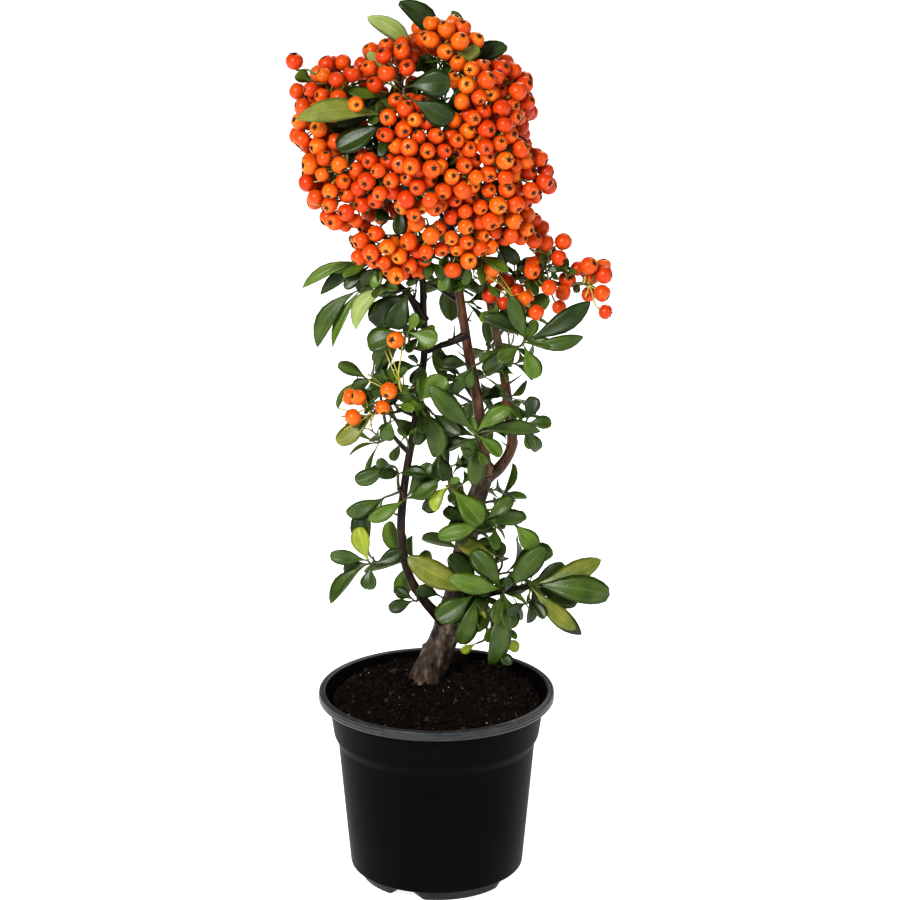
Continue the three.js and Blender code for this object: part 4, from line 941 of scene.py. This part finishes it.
# %% Shoots by rule and by list
def rosette(shoot, path, seed, tint):
    """The leaves round one shoot's line, each turned on from the last by an even share. They start
    0.5 mm before the path's end and 1.6 mm apart."""
    *_, azimuth, elevation, count, length, spread, turn = shoot
    along = heading(azimuth, elevation)
    side = unit(np.cross((0, 0, 1), along))
    top = np.cross(along, side)
    i = np.arange(count)
    uneven = float(count > 1)
    clock = np.radians(turn + 360 * i / count + uneven * 24 * (chance(seed, i, 1) - 0.5))[:, None]
    spread = np.radians(spread * (1 + uneven * 0.3 * (chance(seed, i, 2) - 0.5)))[:, None]
    line = np.cos(spread) * along + np.sin(spread) * (np.cos(clock) * top + np.sin(clock) * side)
    base = np.array([on_path(path, 1 - min((0.5 + 1.6 * k) / length_of(path), 0.7))[0] for k in i])
    add_leaves(base - 0.4 * line, line, along, length * (1 - 0.25 * uneven * chance(seed, i, 4)), seed, tint)


def set_leaves(shoot, path, seed):
    """Leaves whose tips are listed: the line runs from a place near the shoot's end to the tip."""
    rows = [(*leaf, *(np.nan, 1.0)[len(leaf) - 4:]) for leaf in shoot[3]]
    tips = np.array([row[:3] for row in rows]) + shoot[:3]
    base = np.array([on_path(path, 1 - min(0.7 * k / length_of(path), 0.4))[0] for k in range(len(rows))])
    length = np.linalg.norm(tips - base, axis=1)
    line = (tips - base) / length[:, None]
    tints = np.array([TINT_NAMES.index(row[3]) for row in rows])
    bow, broad = (np.array([row[column] for row in rows]) for column in (4, 5))
    add_leaves(base, line, 0 * line[0], length, seed, tints, bow, broad, light=(0, -2, 1.2))


rosette((90, 45, 4, 20, 50, 0), trial_twig, 1, 1)
print("leaves of a trial rosette, taken out again:", len(leaf_rows.pop()))

# %% Side shoots, and the way a shoot faces
OLD, YOUNG, GREEN = 0, 1, 2  # bark of twigs


def side_shoots(path, seed, shares, longest, most=3, reach=5):
    """Short twigs off a path at shares of it, each with two or more leaves."""
    for number, share in enumerate(shares):
        draws = [chance(seed, number, channel) for channel in range(21, 28)]
        place, forward = on_path(path, share)
        out = unit((place - AXIS) * (1, 1, 0))
        aim = unit(heading(360 * draws[0], 70 * draws[1] - 20) + 0.7 * out)
        aim = unit(aim - 0.6 * (aim @ forward) * forward)
        spur = np.linspace(place, place + reach * (1 + 1.2 * draws[2]) * aim, TWIG_STEPS)
        add_twig(spur, (0.75, 0.5), GREEN)
        count = 2 + int((most - 1) * draws[3])
        azimuth, elevation = np.degrees(np.arctan2(aim[1], aim[0])), np.degrees(np.arcsin(aim[2]))
        shoot = (azimuth, elevation, count, longest * (0.65 + 0.35 * draws[4]), 50, 360 * draws[5])
        rosette(shoot, spur, seed + 60 * number, np.searchsorted([0.42, 0.88], draws[6]))


def facing(shoot):
    """The way a shoot faces: as written, or the mean of its leaves' lines and half the way out."""
    if len(shoot) > 4:
        return heading(shoot[3], shoot[4])
    lines = [unit(np.array(leaf[:3])) for leaf in shoot[3]]
    return unit(np.mean(lines, axis=0) + 0.5 * unit(np.array(shoot[:3]) - AXIS))


print("the low front leaves face", np.round(facing(LEAF_MASSES["low_front_leaves"][2][0]), 2))

# %% Leaves of the masses
SIDE_SHOOT_GAP = 13
for name, (limb, at, shoots) in LEAF_MASSES.items():
    places = np.array([shoot[:3] for shoot in shoots], float)
    alongs = np.array([facing(shoot) for shoot in shoots])
    for index, path in grow(limb, at, places, alongs, seeds[name]).items():
        stem = index == len(shoots)
        add_twig(path, (1.4, 1.1) if stem else (1.0, 0.65), OLD if stem else YOUNG)
        shares = np.arange(11, length_of(path) - 5, SIDE_SHOOT_GAP) / length_of(path)
        side_shoots(path, 900 + 40 * seeds[name] + index, shares[:3], 19)
        if stem:
            continue
        if len(shoots[index]) == 4:
            set_leaves(shoots[index], path, 40 * seeds[name] + index)
        else:
            tint = np.searchsorted([0.3, 0.8], chance(seeds[name], index, 30))
            rosette(shoots[index], path, 40 * seeds[name] + index, tint)
print("sprays:", len(leaf_rows), "twigs:", len(twig_paths))

# %% Side shoots of the limbs: limb, from and to share, gap, longest leaf
STEM_SHOOTS = [
    ("middle_stem", 0.68, 1, 12, 22), ("left_crown_bough", 0.3, 1, 11, 22),
    ("back_crown_bough", 0.1, 1, 8, 27), ("right_stem", 0.8, 1, 10, 22),
    ("middle_stem", 0.08, 0.6, 15, 23), ("right_stem", 0.3, 0.75, 20, 20),
    ("left_stem_upper", 0.45, 1, 18, 20), ("right_arm", 0.2, 1, 11, 18),
    ("left_branch", 0.3, 1, 10, 23), ("low_right_branch", 0.25, 1, 9, 25),
    ("trunk", 0.62, 0.95, 12, 22),
]
for number, (name, start, end, gap, longest) in enumerate(STEM_SHOOTS):
    shares = np.arange(start, end, gap / length_of(routes[name]))
    side_shoots(routes[name], 7000 + 90 * number, shares, longest, most=4, reach=6)
print("sprays:", len(leaf_rows), "leaves:", sum(len(rows) for rows in leaf_rows))

# %% [markdown]
# ## Twigs to the bunches
# A bunch faces away from the heart of the crown. Its twig is grown like the others and ends a
# little inside the bunch. It carries leaves too, and they fill the dark between the berries.

# %% Twigs to the bunches
HEART = np.array([-2.0, 12.0, 425.0])
SINK = 0.55  # of a bunch's radius
bunches = []
for name, (limb, at, rows) in FRUIT_MASSES.items():
    places = np.array([row[:3] for row in rows], float)
    alongs = unit((places - HEART) * (1, 1, 0.7))
    sink = np.array([SINK * row[3] if np.isscalar(row[3]) else 0 for row in rows])
    for index, path in grow(limb, at, places - sink[:, None] * alongs, alongs, seeds[name]).items():
        stem = index == len(rows)
        add_twig(path, (1.5, 1.2) if stem else (1.1, 0.8), OLD if stem else YOUNG)
        side_shoots(path, 3900 + 40 * seeds[name] + index, [0.5] if stem else [0.25, 0.6], 18)
        if not stem:
            bunches.append((rows[index], alongs[index], path, 40 * seeds[name] + index))
print("bunches:", len(bunches))

# %% [markdown]
# ## Leaf blades
# A leaf is a thin closed blade: narrow at its stalk, widest past the middle, blunt or shortly
# pointed. It folds a little along its midrib, arches, bows and twists. One grid of ten rows with
# eight points round each gives a top of five strips, the middle one the paler midrib, and an
# underside of three.

# %% Shape of the blades
LEAF_ROWS = np.array([0, 0.1, 0.23, 0.37, 0.51, 0.64, 0.77, 0.88, 0.96, 1.0])
ACROSS = np.array([1, 0.55, 0.05, -0.05, -0.55, -1, -0.05, 0.05])
UPPER = np.array([0, 1, 1, 1, 1, 0, -1, -1])
STRIP_KIND = np.array([0, 0, 1, 0, 0, 2, 2, 2])  # blade, midrib, underside
HALF_THICKNESS, STALK_HALF, TIP_HALF = 0.3, 0.45, 0.2


def blade_points(rows, seed):
    """Half width: half the width times sin(pi u ** peak) to a power that falls along the blade,
    most on a plump leaf, which makes its tip blunt. The middle line is an arc over the straight
    line to the tip, moved aside by bow times u (1 - u), and each row is turned about it by the
    twist. Across, the blade rises to both edges by the fold."""
    base, chord, over_chord = rows[:, :3], rows[:, 3:6], rows[:, 6:9]
    length, bow, width = rows[:, 9:10], rows[:, 10:11], rows[:, 11:12]
    i = np.arange(len(rows))
    u = LEAF_ROWS[None]
    arch = (0.2 + 0.9 * chance(seed, i, 1))[:, None]
    along = np.cos(arch / 2) * chord + np.sin(arch / 2) * over_chord
    face = np.cos(arch / 2) * over_chord - np.sin(arch / 2) * chord
    side = np.cross(face, along)
    fold = (0.15 + 0.3 * chance(seed, i, 2))[:, None, None]
    twist = (0.9 * (chance(seed, i, 3) - 0.5))[:, None] * u
    plump = np.clip(width / length, 0.25, 0.6)
    peak = 1.05 + 1.5 * plump + 0.3 * (chance(seed, i, 7) - 0.5)[:, None]
    power = 1.25 - np.clip(3.3 * plump - 0.38, 0.45, 0.85) * u
    half = width / 2 * np.clip(np.sin(np.pi * u**peak), 0, 1) ** power
    half = np.maximum(half, np.where(u > 0.99, TIP_HALF, STALK_HALF))
    arc = length * (arch / 2) / np.sin(arch / 2)
    run = arc * np.sin(arch * u) / arch
    drop = -arc * (1 - np.cos(arch * u)) / arch
    aside = bow * length * u * (1 - u)
    up = np.cos(arch * u)[..., None] * face[:, None] + np.sin(arch * u)[..., None] * along[:, None]
    middle = base[:, None] + run[..., None] * along[:, None] + drop[..., None] * face[:, None]
    middle = middle + aside[..., None] * side[:, None]
    flat = np.cos(twist)[..., None] * side[:, None] + np.sin(twist)[..., None] * up
    over = np.cos(twist)[..., None] * up - np.sin(twist)[..., None] * side[:, None]
    thick = HALF_THICKNESS * UPPER * (1 - ACROSS**2)
    rise = fold * half[..., None] * np.abs(ACROSS) + thick
    wide = half[..., None] * ACROSS
    return middle[:, :, None] + wide[..., None] * flat[:, :, None] + rise[..., None] * over[:, :, None]


print("points of a blade:", LEAF_ROWS.size * ACROSS.size)

# %% Leaves as one mesh
leaf_finishes = []
for name, pair in TINTS.items():
    leaf_finishes.append(finish(
        name + "_leaf", pair, size=9, roughness=0.38, bump=0.3, fine=6, shine=0.36))
    leaf_finishes.append(finish(
        name + "_midrib", [tuple(1.25 * c + 0.008 for c in colour) for colour in pair], size=9,
        roughness=0.45, bump=0.1, shine=0.3))
    leaf_finishes.append(finish(
        name + "_underside", [(0.6 * a + 0.05, 0.6 * b + 0.075, 0.6 * c + 0.012) for a, b, c in pair],
        size=7, roughness=0.6, bump=0.3, fine=5, shine=0.2))
leaves = np.concatenate(leaf_rows)
blades = blade_points(leaves, 77)
kinds = 3 * leaves[:, 12:].astype(int)
foliage = build_grids("leaves", blades, leaf_finishes, kinds[..., None] + STRIP_KIND, kinds)
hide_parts(*LEAF_MASSES)

# %% [markdown]
# ## Berries
# The fruit is a pome some ten millimetres across, a little flat, with the dried calyx as a dark
# five-armed star in its outer end. Places for any number of berries on a flat dome come from the
# golden angle: each next one turns by 137.5 degrees and steps down. Then all berries push each
# other apart, and away from the leaves, until hardly any overlap, as real ones do when they swell.

# %% Places of the berries
BERRY_RADIUS = 4.95
FULLNESS = 1.4  # berries of a bunch, with those that are hidden behind, to those that show
GOLDEN_ANGLE = np.pi * (3 - 5**0.5)


def turn_to(line):
    """The matrix that turns +Z to a line, by way of their half-way vector."""
    half = unit(line + np.array([0, 0, 1.0]))
    return 2 * np.outer(half, half) - np.eye(3)


def domed(row, along, seed):
    """Places on a dome a quarter wider than the bunch and 0.85 as high, each drawn in or out."""
    count = round(FULLNESS * row[4])
    i = np.arange(count)
    height = 1 - 1.25 * (i + 0.5) / count
    wide = np.sqrt(1 - height**2) * (0.9 + 0.35 * chance(seed, i, 41))
    clock = GOLDEN_ANGLE * i + chance(seed, 0, 42) * 6
    spot = np.stack([1.25 * wide * np.cos(clock), 1.25 * wide * np.sin(clock), 0.85 * height], -1)
    return np.array(row[:3]) + spot @ turn_to(along).T * (row[3] - BERRY_RADIUS)


berry_rows = []
for row, along, path, seed in bunches:
    place = domed(row, along, seed) if np.isscalar(row[3]) else np.array(row[3], float)
    radius = BERRY_RADIUS * (0.86 + 0.22 * chance(seed, np.arange(len(place)), 40))
    middle = path[-1] - 6 * along
    berry_rows.append((place, radius, unit(place - middle), along + 0 * place))
place, radius, lean, alongs = (np.concatenate(column) for column in zip(*berry_rows))
bunch_of = np.repeat(np.arange(len(berry_rows)), [len(row[0]) for row in berry_rows])
print("berries:", len(place))

# %% Berries pushed apart
SETTLE_STEPS, PULL_BACK = 110, 0.01
BERRY_GAP, BERRY_PUSH = 0.3, 0.3
LEAF_GAP, LEAF_PUSH, LEAF_RANGE = 0.8, 0.1, 12


def pushed(place, others, reach, apart=0):
    """For each place the sum of its lines from the others, each as long as it falls short of reach.
    apart is added to the distances, which keeps a berry from its own place."""
    line = place[:, None] - others[None]
    gap = np.linalg.norm(line, axis=2) + apart
    short = np.clip(reach - gap, 0, None)
    return (line / gap[..., None] * short[..., None]).sum(axis=1)


obstacles = blades[:, 1:, [0, 2, 5]].reshape(-1, 3)  # both edges and the midrib
gaps = [np.linalg.norm(part[:, None] - place[None], axis=2).min(axis=1)
        for part in np.array_split(obstacles, 40)]
obstacles = obstacles[np.concatenate(gaps) < LEAF_RANGE]
start_place, reach = place.copy(), radius[:, None] + radius[None] + BERRY_GAP
for _ in range(SETTLE_STEPS):
    push = pushed(place, place, reach, 99 * np.eye(len(place))) * BERRY_PUSH
    push += pushed(place, obstacles, radius[:, None] + LEAF_GAP) * LEAF_PUSH
    place += push + PULL_BACK * (start_place - place)
moved = np.linalg.norm(place - start_place, axis=1)
print("moved at most", round(float(moved.max()), 1), "mm, on average",
      round(float(moved.mean()), 1), "mm, among", len(obstacles), "points of leaves")

# %% Berries as one mesh
BERRY_PROFILE = np.array([
    (0.10, -0.80), (0.45, -0.85), (0.80, -0.58), (0.99, -0.08), (0.93, 0.40), (0.68, 0.74),
    (0.38, 0.86), (0.16, 0.77),
])
BERRY_SIDES, PAINTED_HIGHLIGHT_FROM, UNRIPE_BELOW = 12, 5, 342
ASTRAY_SHARE, ASTRAY, STEADY = 0.42, 3.0, 0.9  # many berries hang turned aside
# Each skin after the first is also the painted highlight round the calyx of berries one tint darker. The last
# one is used only for that.
SKINS = {
    "deep_orange_skin": [(0.50, 0.036, 0.002), (0.58, 0.054, 0.002)],
    "orange_skin": [(0.55, 0.052, 0.002), (0.63, 0.084, 0.003)],
    "light_orange_skin": [(0.60, 0.082, 0.003), (0.68, 0.145, 0.005)],
    "yellow_orange_painted_highlight": [(0.66, 0.14, 0.006), (0.73, 0.22, 0.012)],
}


def three_chances(seed, number):
    """Three numbers from -0.5 to 0.5 for each berry."""
    return np.stack([chance(seed, number, channel) for channel in (1, 2, 3)], -1) - 0.5


number = np.arange(len(place))
astray = np.where(chance(75, number, 1) < ASTRAY_SHARE, ASTRAY, STEADY)[:, None]
berry_axis = unit(0.9 * lean + 0.5 * alongs + astray * three_chances(71, number))
berry_frames = np.array([turn_to(line) for line in berry_axis])
squash = 1 + 0.1 * three_chances(72, number)
shape = turned(BERRY_PROFILE, BERRY_SIDES).reshape(-1, 3)[None] * squash[:, None]
berries = np.einsum("nij,nvj->nvi", berry_frames, shape) * radius[:, None, None] + place[:, None]
berries = berries.reshape(len(place), len(BERRY_PROFILE), BERRY_SIDES, 3)
flesh = [finish(name, pair, size=4, roughness=0.35, bump=0.02, shine=0.3)
         for name, pair in SKINS.items()]
tint = np.searchsorted([0.34, 0.66], 0.4 * chance(5, bunch_of, 3) + 0.6 * chance(5, number, 4))
tint = np.where(place[:, 2] < UNRIPE_BELOW, 2, tint)  # the small sprays half-way down ripen last
# The faces round the calyx and the caps at both ends take the next lighter skin: a painted highlight on each
# berry's outer end.
lighter = np.arange(len(BERRY_PROFILE) - 1)[:, None] >= PAINTED_HIGHLIGHT_FROM  # round the calyx
fruit = build_grids(
    "berries", berries, flesh, tint[:, None, None] + lighter, tint[:, None] + 1)
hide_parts(*FRUIT_MASSES)

# %% [markdown]
# ## Stalks
# A firethorn bunch is a corymb: the twig divides, each division divides again, and every last stalk
# carries one berry. The stalks are thin, yellow-green and clearly seen between the berries. Berries
# of a bunch that lie near each other share a division, which starts on the twig.

# %% Paths of the stalks
STALK_STEPS, BERRIES_A_FORK = 6, 3
FORK_RADII, STALK_RADII, BARE_RADII = (0.75, 0.6), (0.48, 0.52), (0.5, 0.42)
stalk_paths, stalk_radii, bare_tips, bare_lines = [], [], [], []


def add_stalk(foot, leave, arrive, tip, radii):
    """A stalk on a cubic curve between two ends, whose inner handles are leave and arrive."""
    stalk_paths.append(bezier((foot, leave, arrive, tip), STALK_STEPS))
    stalk_radii.append(np.linspace(*radii, STALK_STEPS))


for bunch, (row, _, path, _) in enumerate(bunches):
    mine = np.flatnonzero(bunch_of == bunch)
    groups = max(1, round(len(mine) / BERRIES_A_FORK))
    heads = place[mine[:groups]]
    nearest = np.linalg.norm(place[mine][:, None] - heads[None], axis=2).argmin(axis=1)
    for group in range(groups):
        members = mine[nearest == group]
        foot, forward = on_path(path, 1 - min(3 * group / length_of(path), 0.5))
        fork = foot + 0.4 * (place[members].mean(axis=0) - foot)
        add_stalk(foot, foot + 0.25 * np.linalg.norm(fork - foot) * forward, fork, fork, FORK_RADII)
        for berry in members:
            tip = place[berry] - 0.78 * radius[berry] * berry_axis[berry]
            gap = np.linalg.norm(tip - fork)
            leave = fork + 0.3 * gap * unit(fork - foot)
            add_stalk(fork, leave, tip - 0.35 * gap * berry_axis[berry], tip, STALK_RADII)
    for number, tip in enumerate([] if np.isscalar(row[3]) else np.array(row[4], float)):
        start, forward = on_path(path, 1 - min(0.9 * number / length_of(path), 0.5))
        line = unit(tip - start)
        leave = start + 0.3 * np.linalg.norm(tip - start) * unit(forward + line)
        add_stalk(start, leave, 0.3 * start + 0.7 * tip, tip, BARE_RADII)
        bare_tips.append(tip)
        bare_lines.append(line)
print("stalks:", len(stalk_paths), "bare ones:", len(bare_tips))

# %% Stalks as one mesh
stalk_greens = [
    finish("olive_stalk", [(0.11, 0.12, 0.015), (0.20, 0.21, 0.03)], size=4, roughness=0.5, bump=0.1),
    finish("yellow_stalk", [(0.34, 0.32, 0.05), (0.50, 0.46, 0.09)], size=4, roughness=0.5, bump=0.1),
]
pick = (chance(9, np.arange(len(stalk_paths)), 1) > 0.35).astype(int)
stalks = build_tubes("fruit_stalks", stalk_paths, stalk_radii, 5, stalk_greens, pick)
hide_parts(*FRUIT_MASSES)

# %% [markdown]
# ## Calyx stars
# What is left of the flower sits in the berry's outer end as a dry, nearly black star with five
# ragged arms, and a bare stalk ends in the same star, shrunk to a dot. A star is a flat cone: a rim
# of ten points in and out by turns, and a middle on each side.

# %% Calyx stars
RIM_POINTS = 10
BARE_STAR, BARE_STAR_SINK = 1.7, 1.3
point = np.arange(RIM_POINTS)
turn = np.radians(360 / RIM_POINTS * point)
arm = point % 2 == 0
star_frames = np.concatenate([berry_frames, [turn_to(line) for line in bare_lines]])
star_size = np.concatenate([radius, np.full(len(bare_tips), BARE_STAR)])
star_place = np.concatenate([place, np.array(bare_tips) - BARE_STAR_SINK * np.array(bare_lines)])
number = np.arange(len(star_place))[:, None]
reach = np.where(arm, 0.47, 0.16) * (0.75 + 0.5 * chance(73, number, point[None]))
lift = np.where(arm, 0.88, 0.87) + 0.12 * (chance(74, number, point[None]) - 0.3)
rim = np.stack([reach * np.cos(turn), reach * np.sin(turn), lift], -1)
middles = np.broadcast_to([(0, 0, 0.84), (0, 0, 0.7)], (len(rim), 2, 3))
star = np.concatenate([rim, middles], axis=1) * star_size[:, None, None]
stars = np.einsum("nij,nvj->nvi", star_frames, star) + star_place[:, None]
following = (point + 1) % RIM_POINTS
upper = np.column_stack([point, following, np.full(RIM_POINTS, RIM_POINTS)])
lower = np.column_stack([following, point, np.full(RIM_POINTS, RIM_POINTS + 1)])
star_faces = repeat_faces(np.vstack([upper, lower]), len(stars), RIM_POINTS + 2)
calyx = finish("dry_calyx", [(0.008, 0.004, 0.003), (0.035, 0.014, 0.008)], size=2, roughness=0.8, bump=0.3)
calyxes = build(
    "calyx_stars", stars.reshape(-1, 3), NO_QUADS, star_faces, [calyx],
    np.zeros(len(star_faces)), smooth=False,
)
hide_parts(*FRUIT_MASSES)

# %% [markdown]
# ## Twigs
# All twigs, from the stems of the masses to the spurs of the side shoots, become six-sided tubes in
# one mesh. Their bark goes by age: dark brown on old wood, olive brown on young, green on spurs.

# %% Twigs as one mesh
twig_finishes = [
    finish("old_twig_bark", [(0.018, 0.009, 0.006), (0.05, 0.028, 0.016)], size=4, roughness=0.6, bump=0.4),
    finish("young_twig_bark", [(0.04, 0.032, 0.012), (0.09, 0.07, 0.025)], size=4, roughness=0.55, bump=0.2),
    finish("green_shoot", [(0.06, 0.08, 0.012), (0.12, 0.15, 0.03)], size=4, roughness=0.5, bump=0.1),
]
twigs = build_tubes("twigs", twig_paths, twig_radii, 6, twig_finishes, twig_barks)
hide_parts(*LEAF_MASSES, *FRUIT_MASSES)

# %% [markdown]
# ## Thorns
# Firethorn carries straight dark thorns, a centimetre or so long, that stand out from its stems.
# Each is a short tube that tapers to a point, on a spot and with a heading drawn by chance.

# %% Thorns
THORN_RADII = [[0.9, 0.6, 0.32, 0.05]]
thorn_paths = []
for number, (name, path) in enumerate(routes.items()):
    count = int(length_of(path) / (40 if name == "trunk" else 18))
    for k in range(count):
        spot, _ = on_path(path, (k + 0.3 + 0.5 * chance(number, k, 1)) / count)
        aim = heading(360 * chance(number, k, 2), 10 + 40 * chance(number, k, 3))
        thorn_paths.append(np.linspace(spot, spot + (10 + 6 * chance(number, k, 4)) * aim, 4))
thorn = finish("dark_thorn", [(0.008, 0.004, 0.003), (0.03, 0.014, 0.009)], size=3, roughness=0.4, bump=0.1)
thorns = build_tubes("thorns", thorn_paths, THORN_RADII, 6, [thorn])
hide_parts(*LIMBS)
